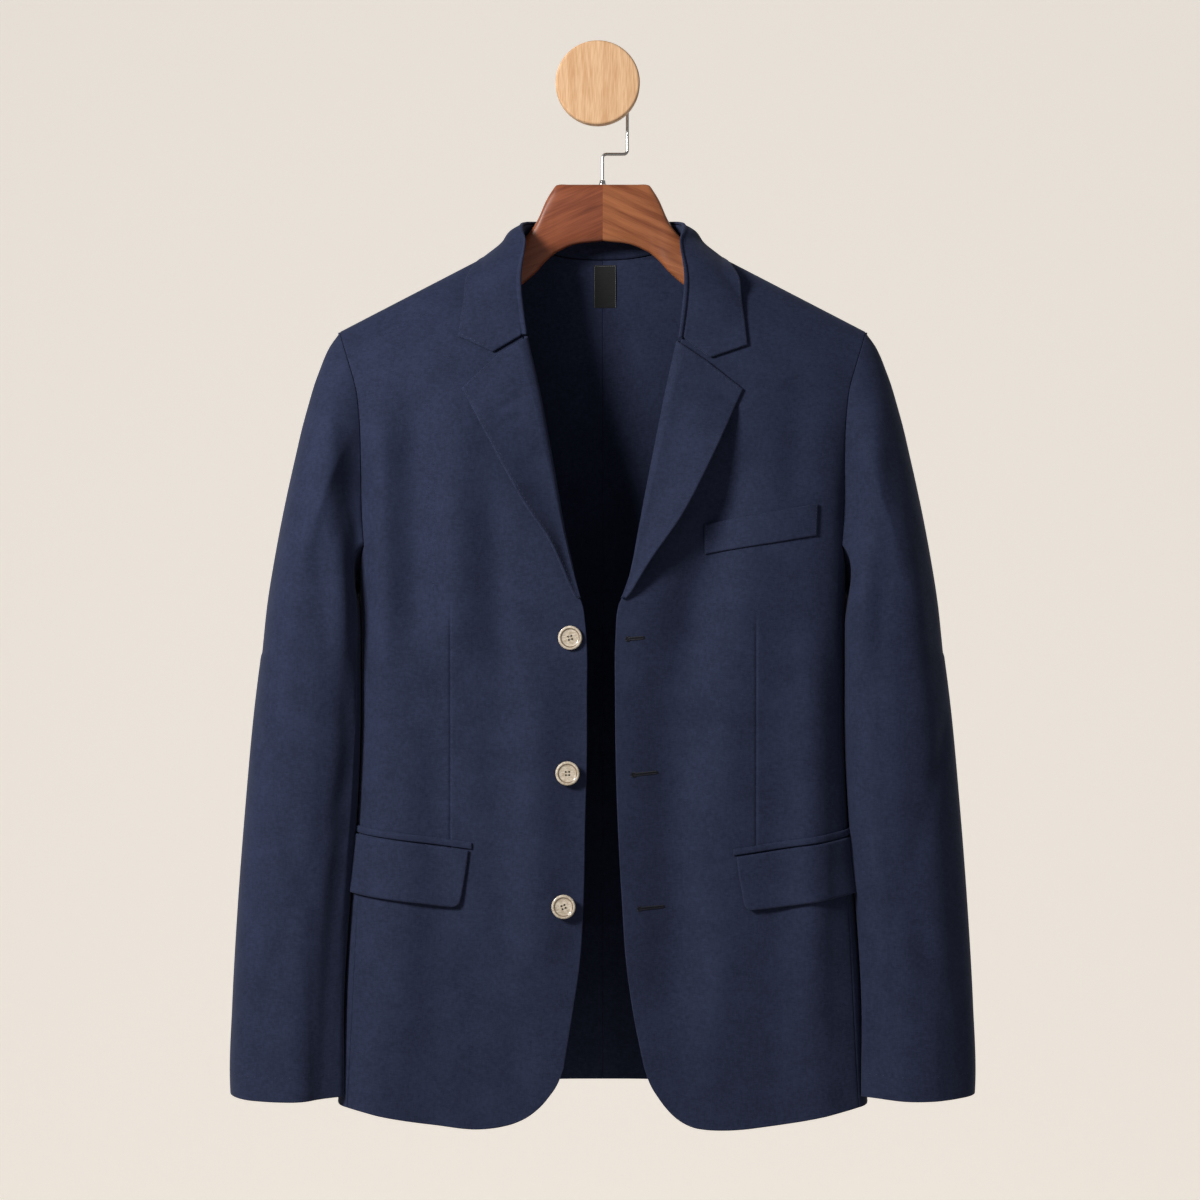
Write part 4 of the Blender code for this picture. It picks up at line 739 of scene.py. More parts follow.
def side_grid(front, back, side):
    """Side panel: from the front's side seam round to the back's, its top edge the foot of the armhole."""
    share = clustered(16, (0.010, 0.025, 0.05, 0.09))
    grid = np.zeros((ARM_ROW + 1, len(share), 3))
    dip = UNDERARM_Z - 0.5 * (front[ARM_ROW, -1, 2] + back[ARM_ROW, -1, 2])
    for j in range(ARM_ROW + 1):
        start = front[j, -1]
        end = back[j, -1]
        z = start[2] + (end[2] - start[2]) * share
        z = z + dip * (j / ARM_ROW) ** 4 * np.sin(math.pi * share) ** 1.2
        line, run, half = body_arc(float(z.mean()), side)
        arc_from = float(np.interp(start[0], line[:half, 0], run[:half]))
        arc_to = float(np.interp(-end[0], -line[half - 1:, 0], run[half - 1:]))
        arc = arc_from + (arc_to - arc_from) * share
        row = np.stack([np.interp(arc, run, line[:, 0]), np.interp(arc, run, line[:, 1]), z], axis=1)
        ease = share[:, None]
        grid[j] = row + (start - row[0]) * (1 - ease) + (end - row[-1]) * ease
    return grid


# ---------------------------------------------------------------- sleeves
def side_x(y, z):
    """Half width of the body at a depth and height."""
    width, front, back, power = (table_curve(BODY, k, z) for k in (1, 2, 3, 4))
    ridge = ridge_y(0.2)
    deep = np.where(y < ridge, ridge - front, back - ridge)
    off = np.clip(np.abs(y - ridge) / deep, 0.0, 0.97)
    return width * (1.0 - off**power) ** (1.0 / power)


def sleeve_ring(z, shares):
    """Section of the sleeve at one height: round in front, flatter where it lies along the body."""
    inner, outer, front, back = (float(table_curve(SLEEVE[::-1], k, z)) for k in (1, 2, 3, 4))
    angle = np.linspace(0.0, 2 * math.pi, 721)
    mid_x, half_x = 0.5 * (inner + outer), 0.5 * (outer - inner)
    mid_y, half_y = 0.5 * (front + back), 0.5 * (back - front)
    turn, rise = np.cos(angle), np.sin(angle)
    inward = np.clip(-turn * 1.6, 0.0, 1.0)
    forward = np.clip(rise * 1.6, 0.0, 1.0)
    round_out = SLEEVE_ROUND_OUT + (SLEEVE_ROUND_FRONT - SLEEVE_ROUND_OUT) * forward * inward
    round_in = SLEEVE_POWER_IN + (SLEEVE_ROUND_FRONT - SLEEVE_POWER_IN) * forward
    power = 2.0 / (round_out * (1 - inward) + inward * round_in)
    x = mid_x + half_x * np.sign(turn) * np.abs(turn) ** power
    y = mid_y - half_y * np.sign(rise) * np.abs(rise) ** power
    beside = side_x(y, z) + SLEEVE_BESIDE
    pull = np.clip((mid_x - x) / half_x, 0.0, 1.0) ** 2 * np.clip((back - y) / 0.003, 0.0, 1.0)
    x = x + (beside - x) * pull * np.clip((y + 0.120) / 0.012, 0.0, 1.0)
    run = run_along(np.stack([x, y], axis=1))
    at = np.asarray(shares) * run[-1]
    return np.stack([np.interp(at, run, x), np.interp(at, run, y), np.full(len(at), z)], axis=1)


def sleeve_grid(front, side_panel, back, side):
    """Sleeve tube: rows from the armhole to the cuff, columns round it; the last column repeats the first."""
    loop = np.concatenate([front[ARM_ROW:, -1][::-1], side_panel[-1, 1:-1], back[ARM_ROW:, -1][:-1]])
    closed = np.concatenate([loop, loop[:1]])
    run = run_along(closed)
    shares = run / run[-1]
    top_z, cuff_z = SLEEVE[0][0], SLEEVE[-1][0] + CUFF_RISE
    first = sleeve_ring(top_z, shares)
    second = sleeve_ring(top_z - 0.01, shares)
    reach = np.linalg.norm(first - closed, axis=1)[:, None]
    radial = closed - loop.mean(axis=0)
    radial[:, 0] = 0.0
    radial = unit(radial)
    high = np.clip(radial[:, 2], 0.0, 1.0)
    low = np.clip(-radial[:, 2], 0.0, 1.0)
    outwards = 0.60 + 0.25 * high + 0.3 * low
    downwards = -0.72 + 0.22 * high + 0.3 * low
    leave = np.stack([outwards, 0.42 * radial[:, 1], downwards], axis=1)
    leave = unit(leave) * reach * LEAVE_PULL
    arrive = unit(second - first) * reach * ARRIVE_PULL
    rows = []
    for t in SLEEVE_HEAD_ROWS:
        row = hermite(t, closed, leave, first, arrive)
        beside = np.clip((UNDERARM_SPREAD_Z - row[:, 2]) / 0.03, 0.0, 1.0) * min(1.0, 3.0 * t)
        clear_x = np.maximum(side_x(row[:, 1], row[:, 2]), FRONT_OUTER[4][1]) + SLEEVE_BESIDE * np.sqrt(t)
        row[:, 0] = np.where(row[:, 0] < clear_x, row[:, 0] + (clear_x - row[:, 0]) * beside, row[:, 0])
        rows.append(row)
    for t in SLEEVE_RING_ROWS:
        ring = sleeve_ring(top_z + (cuff_z - top_z) * t, shares)
        ring[:, 2] -= CUFF_DROP * t**4 * np.sin(2 * math.pi * shares) ** 2
        rows.append(ring)
    return fold_sleeve(draw_in_head(np.array(rows)), shares, side), shares


def draw_in_head(grid):
    """Draws the sleeve head in towards the armhole until its outermost line is the head's outline."""
    top = grid[:, 0]
    wanted = table_curve(SLEEVE_HEAD_OUTLINE, 1, grid[..., 2])
    base = table_curve(FRONT_OUTER, 1, grid[..., 2])
    widest = np.interp(-grid[..., 2], -top[:, 2], top[:, 0])
    ratio = np.where(widest - base > 0.003, (wanted - base) / np.maximum(widest - base, 0.003), 1.0)
    ratio = np.where(grid[..., 2] < -0.50, 1.0, np.clip(ratio, 0.5, 1.1))
    grid = grid.copy()
    grid[..., 0] = np.where(grid[..., 0] > base, base + (grid[..., 0] - base) * ratio, grid[..., 0])
    return grid


def fold_sleeve(grid, shares, side):
    """Presses the sleeve's soft folds in, across the tube."""
    out = grid - grid.mean(axis=1, keepdims=True)
    out[..., 2] = 0.0
    out = unit(out, 1e-6)
    round_share = np.broadcast_to(shares, grid.shape[:2])
    depth = SLEEVE_FOLD_EASE * soft_line_folds(SLEEVE_FOLDS, round_share, grid[..., 2])
    depth = depth + soft_line_folds(SLEEVE_CREASES[side], round_share, grid[..., 2])
    before = np.clip((0.5 - round_share) / 0.05, 0.0, 1.0)
    head = line_folds(SLEEVE_HEAD_FOLDS[side], grid[..., 0], grid[..., 2]) * before
    ease = np.clip(np.arange(grid.shape[0]) / 12.0, 0.0, 1.0)[:, None]
    return grid + out * ((depth + head) * ease)[..., None]


# ---------------------------------------------------------------- closed shells from grids
def corner_normals(grid, flip):
    """Sums of the cells' directions at each point of a grid."""
    across = (grid[:-1, 1:] - grid[:-1, :-1]) + (grid[1:, 1:] - grid[1:, :-1])
    along = (grid[1:, :-1] - grid[:-1, :-1]) + (grid[1:, 1:] - grid[:-1, 1:])
    cell = np.cross(along, across) * (-1.0 if flip else 1.0)
    total = np.zeros_like(grid)
    for rows in (slice(None, -1), slice(1, None)):
        for columns in (slice(None, -1), slice(1, None)):
            total[rows, columns] += cell
    return total


def quilt_normals(grids):
    """Outward directions for all grids, summed where seams share points; sleeve and body count as equals."""
    points = np.concatenate([grid.reshape(-1, 3) for grid, _ in grids.values()])
    _, at = np.unique(np.round(points * 2e5).astype(np.int64), axis=0, return_inverse=True)
    at = at.reshape(-1)
    sums = {False: np.zeros((at.max() + 1, 3)), True: np.zeros((at.max() + 1, 3))}
    start = 0
    for name, (grid, flip) in grids.items():
        count = grid.shape[0] * grid.shape[1]
        np.add.at(sums["sleeve" in name], at[start:start + count], corner_normals(grid, flip).reshape(-1, 3))
        start += count
    total = np.zeros_like(sums[True])
    parts = np.zeros(len(total))
    for part in sums.values():
        size = np.linalg.norm(part, axis=1, keepdims=True)
        total += np.where(size > 0, part / np.maximum(size, 1e-15), 0.0)
        parts += size[:, 0] > 0
    total[:, 2] -= 1.6 * (1.0 - np.linalg.norm(total, axis=1) / parts)
    total = unit(total)
    made = {}
    start = 0
    for name, (grid, _) in grids.items():
        count = grid.shape[0] * grid.shape[1]
        made[name] = total[at[start:start + count]].reshape(grid.shape)
        start += count
    return made


def unit_normals(grid, towards):
    """Unit directions square to a grid's surface, on the side of the given direction."""
    square = np.cross(np.gradient(grid, axis=0), np.gradient(grid, axis=1))
    square = unit(square)
    middle = square[grid.shape[0] // 2, grid.shape[1] // 2]
    return square if np.dot(middle, towards) > 0 else -square


def edge_runs(grid):
    """Distance of each point from the four edges, along the grid's lines."""
    down = np.linalg.norm(np.diff(grid, axis=0), axis=2)
    over = np.linalg.norm(np.diff(grid, axis=1), axis=2)
    zero_row = np.zeros((1, grid.shape[1]))
    zero_column = np.zeros((grid.shape[0], 1))
    return {
        "first_row": np.concatenate([zero_row, np.cumsum(down, axis=0)]),
        "last_row": np.concatenate([np.cumsum(down[::-1], axis=0)[::-1], zero_row]),
        "first_column": np.concatenate([zero_column, np.cumsum(over, axis=1)], axis=1),
        "last_column": np.concatenate([np.cumsum(over[:, ::-1], axis=1)[:, ::-1], zero_column], axis=1),
    }


EDGES = ("first_row", "last_row", "first_column", "last_column")


def rounded_shell(name, outer, inner, seams, edges, paint, slot, nodes):
    """Closed cloth shell between two grids, its free edges rounded, its seam edges rolled under a little."""
    runs = edge_runs(outer)
    middle = 0.5 * (outer + inner)
    half = 0.5 * (outer - inner)
    reach = np.linalg.norm(half, axis=2)
    shrink = np.ones(reach.shape)
    for edge in (*seams, *edges):
        depth = np.clip(runs[edge] / np.maximum(reach * (1.0 if edge in edges else 0.8), 1e-6), 0.0, 1.0)
        shrink = np.minimum(shrink, np.sqrt(np.clip(1.0 - (1.0 - depth) ** 2, 0.0, 1.0)))
    shrink = np.maximum(shrink, 0.30)[..., None]
    outer = middle + half * shrink
    inner = middle - half * shrink
    rows, columns = outer.shape[:2]
    points = np.concatenate([outer.reshape(-1, 3), inner.reshape(-1, 3)])
    index = np.arange(rows * columns).reshape(rows, columns)
    corners = (index[:-1, :-1], index[:-1, 1:], index[1:, 1:], index[1:, :-1])
    a, b, c, d = (part.reshape(-1) for part in corners)
    faces = [np.stack([a, b, c, d], axis=1), np.stack([d, c, b, a], axis=1) + rows * columns]
    rim = np.concatenate([index[0], index[1:, -1], index[-1, -2::-1], index[-2:0:-1, 0]])
    after = np.roll(rim, -1)
    faces.append(np.stack([after, rim, rim + rows * columns, after + rows * columns], axis=1))
    item = mesh_object(name, points, np.concatenate(faces), paint)
    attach(item, "root")
    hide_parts(*nodes)
    return item


def mesh_object(name, points, faces, paint):
    mesh = bpy.data.meshes.new(name)
    corners = [tuple(int(v) for v in face) for face in faces]
    mesh.from_pydata(np.asarray(points, dtype=float).tolist(), [], corners)
    work = bmesh.new()
    work.from_mesh(mesh)
    bmesh.ops.recalc_face_normals(work, faces=work.faces)
    work.to_mesh(mesh)
    work.free()
    mesh.shade_smooth()
    mesh.materials.append(paint)
    return linked(name, mesh)


def linked(name, data):
    """A new object in the scene."""
    item = bpy.data.objects.new(name, data)
    bpy.context.scene.collection.objects.link(item)
    return item


# ---------------------------------------------------------------- lapels
LAPEL_LINES = 120
LAPEL_FLOAT = {"right": 0.0150, "left": 0.0190}  # how far the lapel's outer edge stands off at its middle


def smooth_first(grid, count, steps):
    """Refines the first few columns by a smooth curve; returns the grid and the columns' old numbers."""
    first = grid[:, :count]
    run = np.linalg.norm(np.diff(first, axis=1), axis=2).mean(axis=0)
    keys = np.concatenate([[0.0], np.cumsum(np.maximum(run, 1e-4))])
    number = np.linspace(0.0, count - 1, (count - 1) * steps + 1)
    at = np.interp(number, range(count), keys)
    rows = np.column_stack([keys, first.transpose(1, 0, 2).reshape(count, -1)])
    fine = np.stack([table_curve(rows, k + 1, at) for k in range(rows.shape[1] - 1)], axis=-1)
    fine = fine.reshape(len(at), grid.shape[0], 3).transpose(1, 0, 2)
    whole = np.concatenate([fine[:, :-1], grid[:, count - 1:]], axis=1)
    return whole, np.concatenate([number[:-1], np.arange(count - 1, grid.shape[1])])


def lapel_outline(side):
    """Roll line and outer edge of the lapel at the same shares of the way up it, and those shares."""
    column, first = (1, 0) if side == "right" else (2, 2)
    edge = np.array(LAPEL_EDGE)[:, first:first + 2]
    up = clustered(LAPEL_LINES, (0.003, 0.007, 0.012))
    low_z = BREAK_Z + LAPEL_TIP
    heights = low_z + (LAPEL_TOP[side][0] - low_z) * up
    roll = np.stack([table_curve(FRONT_INNER, column, heights), heights], axis=1)
    edge_x = np.linspace(edge[0, 0], edge[-1, 0], 240)
    outer = resample(np.stack([edge_x, table_curve(edge, 1, edge_x)], axis=1), 801)
    outer = np.stack([np.interp(up, np.linspace(0, 1, 801), outer[:, k]) for k in (0, 1)], axis=1)
    return up, roll, outer


def flat_lapel(side, shares, up, roll, outer):
    """The lapel laid flat: rows up it, columns at shares of the way out, between its four sides."""
    notch = LAPEL_TOP[side][1]
    corner = [0.0, COLLAR_NOTCH[0], 1.0]
    top_line = [[roll[-1, k], notch[k], outer[-1, k]] for k in (0, 1)]
    high = np.stack([np.interp(shares, corner, line) for line in top_line], axis=1)
    low = roll[0] + (outer[0] - roll[0]) * shares[:, None]
    step, out = up[:, None, None], shares[None, :, None]
    flat = (1 - out) * roll[:, None] + out * outer[:, None] + (1 - step) * low[None] + step * high[None]
    flat = flat - (1 - step) * ((1 - out) * roll[0] + out * outer[0])
    return flat - step * ((1 - out) * roll[-1] + out * outer[-1])


def lapel_grid(side):
    """Lapel: rows from the break to the gorge, columns from the roll outwards; also each column's wall."""
    up, roll, outer = lapel_outline(side)
    shares = clustered(46, (0.006, 0.014, 0.026), (1.0,))
    shares = shares[shares >= LAPEL_COLUMNS[0][0]]
    flat = flat_lapel(side, shares, up, roll, outer)
    soft = np.clip((roll[:, 1] - BREAK_Z - LAPEL_TIP) / 0.03, 0.0, 1.0)
    rest = LAPEL_COLUMNS[-1][1]
    lines = []
    for i, (step_out, lift, _) in enumerate(LAPEL_ROLL):
        x = roll[:, 0] + step_out * soft + ROLL_SPREAD[i] * (1.0 - soft)
        lines.append((x, roll[:, 1], rest + (lift - rest) * soft))
    wave = np.sin(math.pi * np.clip(up * 1.08, 0.0, 1.0)) ** 0.8
    for i, share in enumerate(shares):
        lift = float(table_curve(LAPEL_COLUMNS, 1, share))
        crease = line_folds(LAPEL_CREASES[side], flat[:, i, 0], flat[:, i, 1])
        raised = LAPEL_FLOAT[side] * wave * share**2 + crease * min(1.0, (1 - share) * 6 + 0.3)
        lines.append((flat[:, i, 0], flat[:, i, 1], rest + (lift - rest) * soft + raised))
    grid = np.stack([np.stack([x, front_y(x, z, side) - h, z], axis=1) for x, z, h in lines], axis=1)
    grid, number = smooth_first(grid, len(LAPEL_ROLL) + 3, 4)
    return grid, walls_at(number, LAPEL_ROLL)


def walls_at(number, roll):
    """Wall of each column: that of the roll's own lines, then the doubled cloth's."""
    return np.interp(number, range(len(roll) + 1), [thick for _, _, thick in roll] + [DOUBLED])


def laid_shell(name, grid, wall, towards, seams, edges, paint, slot, nodes):
    """Closed cloth whose outer face is the grid; wall may differ from column to column."""
    thickness = np.broadcast_to(np.asarray(wall, dtype=float), (grid.shape[1],))[None, :, None]
    inner = grid - unit_normals(grid, towards) * thickness
    return rounded_shell(name, grid.copy(), inner, seams, edges, paint, slot, nodes)


def make_lapels(cloth):
    made = {}
    for side in SIDES:
        grid, wall = lapel_grid(side)
        made[f"lapel_{side}"] = placed(grid, side)
        laid_shell(
            f"lapel_{side}_cloth", placed(grid, side), wall, FRONTWARDS, ("last_row",),
            ("first_row", "first_column", "last_column"), cloth, "navy_turned_cloth", [f"lapel_{side}"])
    return made


# ---------------------------------------------------------------- collar
def row_share(at, rows):
    """How far a row lies into a stretch of rows, from 0 to 1."""
    start, over = rows
    return min(1.0, max(0.0, (at - start) / over))


def collar_lines(at, side="right"):
    """Fold and outer edge of the collar at rows of its table, on one side of the middle."""
    keyed = [(k, *row) for k, row in enumerate(COLLAR)]
    columns = np.stack([table_curve(keyed, c, at) for c in range(1, 7)], axis=-1)
    fold, edge = columns[:3], columns[3:]
    late = row_share(at, COLLAR_END_ROWS) ** 2
    fold[2] -= COLLAR_END[side][0] * late
    edge[2] -= COLLAR_END[side][1] * late
    return fold, edge


def clear_of_body(points, lift):
    """Moves points out of the body until they lie at least lift above the cloth."""
    x, y, z = points.T
    ridge = ridge_y(x)
    front = y < ridge
    reach = np.where(front, ridge - front_y(x, z - 0.12, "left"), back_y(x, z - 0.12) - ridge)
    height = np.where(front, FRONT_ROUNDING, BACK_ROUNDING)
    share = np.abs(y - ridge) / reach
    top = shoulder_z(x) - height * (1.0 - np.sqrt(1.0 - np.clip(share, 0.0, 0.9) ** 2))
    out = points.copy()
    above = z > shoulder_z(x) + 1.2 * lift
    near = ~above & (share < 0.55)
    far_front = ~above & ~near & front
    far_back = ~above & ~near & ~front
    out[near, 2] = np.maximum(z, top + 1.2 * lift)[near]
    out[far_front, 1] = np.minimum(y, front_y(x, z, "left") - lift)[far_front]
    out[far_back, 1] = np.maximum(y, back_y(x, z) + lift)[far_back]
    return out


def collar_directions(at, side="right"):
    """Outwards from the fold, and away from the cloth below it: up at the back, forwards at the front."""
    fold, edge = collar_lines(at, side)
    out = (edge - fold) * np.array([1.0, 1.0, 0.0])
    out = unit(out)
    turn = row_share(at, COLLAR_TURN_ROWS)
    away = np.array([0.0, -turn, 1.0 - turn])
    away = away - out * np.dot(away, out)
    return out, unit(away)


COLLAR_SHARES = clustered(40, (0.006, 0.014, 0.026), (1.0,))[1:]


def collar_section(at, side):
    """One line across the collar, from inside the fold to its outer edge."""
    fold, edge = collar_lines(at, side)
    out, away = collar_directions(at, side)
    rolled = np.array([fold + out * step + away * rise for step, rise, _ in COLLAR_ROLL])
    top = rolled[-1]
    chord = edge - top
    bulge = away - chord * np.dot(away, chord) / np.dot(chord, chord)
    bulge = unit(bulge)
    end = row_share(at, COLLAR_NOTCH_ROWS) ** 2
    share = COLLAR_SHARES[:, None]
    swell = table_curve(((0.0, 0.0), *COLLAR_COLUMNS), 1, share)
    corner = COLLAR_END[side][2]
    notch = np.where(share < corner, share / corner, (1 - share) / (1 - corner))
    points = top + chord * share + bulge * swell
    points[:, 2] -= (COLLAR_NOTCH[1] * notch * end)[:, 0]
    return np.concatenate([rolled, clear_of_body(points, COLLAR_LIFT)])


def stand_ends(at):
    """Foot of the stand on the neck seam, and its top just under the fold."""
    fold, _ = collar_lines(at)
    out, away = collar_directions(at)
    if at <= NECK_POINT_ROW:
        x = float(table_curve(NECK_SEAM, 1, at))
        z = float(back_top_z(x))
        foot = np.array([x, float(back_y(x, z)), z + STAND_LIFT]) - out * CLOTH
    else:
        z = float(table_curve(NECK_SEAM, 2, at))
        x = float(front_inner_x(z, "left"))
        foot = np.array([x, float(front_y(x, z, "left")), z]) - out * (CLOTH + 3 * CLEAR)
    return foot, fold + out * STAND_UNDER_FOLD[0] - away * STAND_UNDER_FOLD[1]


def stand_section(at, _):
    """One line up the neck side of the collar's stand, from the neck seam to just under the fold."""
    foot, top = stand_ends(at)
    return foot + (top - foot) * np.linspace(0.0, 1.0, 13)[:, None]


def mirrored_rows(section, last_row, lines):
    """Rows from the right front end round the back of the neck to the left front end."""
    rows = last_row * np.concatenate([np.linspace(0.0, 0.985, lines), [0.990, 0.994, 0.9975, 1.0]])
    return {side: np.array([section(at, side) for at in rows]) for side in SIDES}


def even_out(grid, rounds):
    """Softens a grid along its rows' direction, its end rows kept."""
    grid = grid.copy()
    for _ in range(rounds):
        grid[1:-1] = 0.5 * grid[1:-1] + 0.25 * (grid[:-2] + grid[2:])
    return grid


def whole_collar(halves):
    right = halves["right"][:0:-1] * np.array([-1.0, 1.0, 1.0])
    grid = np.concatenate([right, halves["left"]])
    grid[..., 0] += CENTRE_X
    return grid


def draw_in_collar(fall):
    """Draws the collar's sides in towards the neck, so that they run straight down to the shoulder."""
    out = fall[..., 0] - CENTRE_X
    share = np.clip((np.abs(out) - 0.058) / 0.030, 0.0, 1.0)
    fall = fall.copy()
    fall[..., 0] -= np.sign(out) * smooth(share) * table_curve(COLLAR_DRAWN_IN, 1, fall[..., 2])
    return fall


def make_collar(cloth):
    halves = mirrored_rows(collar_section, len(COLLAR) - 1.0, 110)
    rolled = len(COLLAR_ROLL)
    for half in halves.values():
        half[:-8, rolled:] = even_out(half[:, rolled:], 6)[:-8]
    fall, number = smooth_first(whole_collar(halves), rolled + 3, 4)
    fall = draw_in_collar(fall)
    laid_shell(
        "collar_fall_cloth", fall, walls_at(number, COLLAR_ROLL), BACKWARDS, ("first_row", "last_row"),
        ("first_column", "last_column"), cloth, "navy_turned_cloth", ["collar_fall"])
    halves = mirrored_rows(stand_section, STAND_END_ROW, 110)
    stand = whole_collar({side: even_out(half, 3) for side, half in halves.items()})
    laid_shell(
        "collar_stand_cloth", stand, CLOTH, FRONTWARDS, (), EDGES,
        cloth, "navy_turned_cloth", ["collar_stand"])
    return {"collar_fall": fall}


# ---------------------------------------------------------------- pockets
def patch_on_body(side, start_x, heights, along):
    """Points on the body at given heights and distances round from a start, each a grid of the same shape."""
    levels = np.linspace(heights.min() - 1e-4, heights.max() + 1e-4, 14)
    runs = np.linspace(along.min() - 1e-4, along.max() + 1e-4, 90)
    table = np.zeros((len(levels), len(runs), 2))
    for i, z in enumerate(levels):
        line, run, half = body_arc(float(z), side)
        arc = np.interp(start_x, line[:half, 0], run[:half]) + runs
        table[i] = np.stack([np.interp(arc, run, line[:, 0]), np.interp(arc, run, line[:, 1])], axis=1)
    u = (heights - levels[0]) / (levels[1] - levels[0])
    v = (along - runs[0]) / (runs[1] - runs[0])
    i = np.clip(u.astype(int), 0, len(levels) - 2)
    j = np.clip(v.astype(int), 0, len(runs) - 2)
    u, v = (u - i)[..., None], (v - j)[..., None]
    mixed = (
        (1 - u) * (1 - v) * table[i, j] + (1 - u) * v * table[i, j + 1]
        + u * (1 - v) * table[i + 1, j] + u * v * table[i + 1, j + 1]
    )
    return np.concatenate([mixed, heights[..., None]], axis=2)


def flap_grid(side):
    """Flap: rows from its top down, columns from its inner end to the side, the lower corners rounded."""
    start_x, top_z, rise, drop = FLAP[side]
    down = clustered(34, (0.02, 0.05, 0.09))[:, None]
    across = clustered(90, (0.004, 0.009, 0.017))[None, :]
    corner = FLAP_CORNER / drop
    low = np.clip((down - (1.0 - corner)) / corner, 0.0, 1.0)
    slant = np.interp(down, *FLAP_SLANT)
    set_in = slant + FLAP_CORNER * (1.0 - np.sqrt(1.0 - low**2))
    far = FLAP_CORNER * 0.6 * (1.0 - np.sqrt(1.0 - low**2))
    along = set_in + (FLAP_LENGTH - far - set_in) * across
    hang = FLAP_SAG[side] * np.sin(math.pi * across) * down**2
    heights = top_z - drop * down - hang + rise * along
    grid = patch_on_body(side, start_x, heights, along)
    ripple = FLAP_RIPPLE * down * np.sin(2.3 * math.pi * across + 0.6) * FLAP_WAVE[side]
    curl = np.maximum(FLAP_CURL * down**3 + ripple, -CLEAR)
    return grid, np.broadcast_to(FLAP_LIFT - CLEAR * (1 - down) + curl, grid.shape[:2])


def lifted(grid, lift, side, towards=FRONTWARDS):
    """A grid on the wearer's side, moved out square to its surface."""
    world = placed(grid, side)
    return world + unit_normals(world, towards) * np.asarray(lift)[..., None]


def make_pockets(cloth):
    for side in SIDES:
        grid, lift = flap_grid(side)
        laid_shell(
            f"flap_{side}_cloth", lifted(grid, lift, side), DOUBLED, FRONTWARDS, (),
            EDGES, cloth, "navy_cloth", [f"flap_{side}"])
        start_x, top_z, rise, _ = FLAP[side]
        up = clustered(12, (0.04, 0.10))[:, None]
        across = clustered(90, (0.003, 0.007))[None, :]
        along = FLAP_LENGTH * across + 0 * up
        heights = top_z + 2 * CLEAR + JET_HEIGHT * (1.0 - up) + rise * along
        jet = patch_on_body(side, start_x - JET_OVERLAP, heights, along)
        swell = JET_SWELL * np.sin(math.pi * up) + 0 * across
        laid_shell(
            f"jet_{side}_cloth", lifted(jet, JET_LIFT - 0.0004 + swell, side), CLOTH, FRONTWARDS, (),
            EDGES, cloth, "navy_cloth", [f"jet_{side}"])
    top_in, top_out, low_out, low_in = np.array(WELT)
    across = clustered(90, (0.004, 0.009, 0.02, 0.04))[None, :, None]
    down = clustered(26, (0.02, 0.05, 0.10, 0.16))[:, None, None]
    flat = (1 - down) * (top_in + (top_out - top_in) * across) + down * (low_in + (low_out - low_in) * across)
    welt = np.stack([flat[..., 0], front_y(flat[..., 0], flat[..., 1], "left"), flat[..., 1]], axis=2)
    held = np.minimum(1.0, np.minimum(across, 1 - across) / 0.05)[..., 0] * (1 - down[..., 0]) ** 0.7
    welt = lifted(welt, WELT_LIFT + WELT_END_LIFT * held, "left")
    laid_shell(
        "chest_welt_cloth", welt, DOUBLED, FRONTWARDS, (), EDGES, cloth, "navy_cloth", ["chest_welt"])
    return {"chest_welt": welt}


# ---------------------------------------------------------------- hard pieces
def solid(name, points, faces, paint, nodes, sharp=40):
    item = mesh_object(name, points, faces, paint)
    item.data.set_sharp_from_angle(angle=math.radians(sharp))
    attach(item, "root")
    if nodes:
        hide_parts(*nodes)
    return item


def turned_rings(profile, segments, place):
    """Rings round the y axis from (y, radius) points; a radius of zero gives one point."""
    points, faces, rings = [], [], []
    for y, radius in profile:
        count = 1 if radius == 0.0 else segments
        ring = []
        for k in range(count):
            angle = 2 * math.pi * k / segments
            ring.append(len(points))
            x, z = radius * math.cos(angle), radius * math.sin(angle)
            points.append((place[0] + x, place[1] + y, place[2] + z))
        rings.append(ring)
    for first, second in zip(rings, rings[1:]):
        for k in range(segments):
            n = (k + 1) % segments
            if len(first) == 1:
                faces.append((first[0], second[k], second[n]))
            elif len(second) == 1:
                faces.append((first[n], first[k], second[0]))
            else:
                faces.append((first[n], first[k], second[k], second[n]))
    return points, faces


def tube_mesh(path, radius, around=10, closed_ends=True, radii=None):
    """Points and faces of a round tube along a line of points."""
    path = np.asarray(path, dtype=float)
    along = np.gradient(path, axis=0)
    along = unit(along)
    side = np.cross(along[0], (0.0, 1.0, 0.0) if abs(along[0, 1]) < 0.8 else (1.0, 0.0, 0.0))
    points, faces = [], []
    for i, (centre, direction) in enumerate(zip(path, along)):
        side = side - direction * np.dot(side, direction)
        side = unit(side)
        other = np.cross(direction, side)
        size = radius if radii is None else radii[i]
        for k in range(around):
            angle = 2 * math.pi * k / around
            points.append(centre + size * (side * math.cos(angle) + other * math.sin(angle)))
    for i in range(len(path) - 1):
        for k in range(around):
            n = (k + 1) % around
            a, b = i * around, (i + 1) * around
            faces.append((a + k, a + n, b + n, b + k))
    if closed_ends:
        faces.append(tuple(range(around))[::-1])
        faces.append(tuple(range((len(path) - 1) * around, len(path) * around)))
    return points, faces


def joined(parts):
    """One list of points and faces from several."""
    points, faces = [], []
    for some_points, some_faces in parts:
        start = len(points)
        points += [tuple(p) for p in some_points]
        faces += [tuple(v + start for v in face) for face in some_faces]
    return points, faces


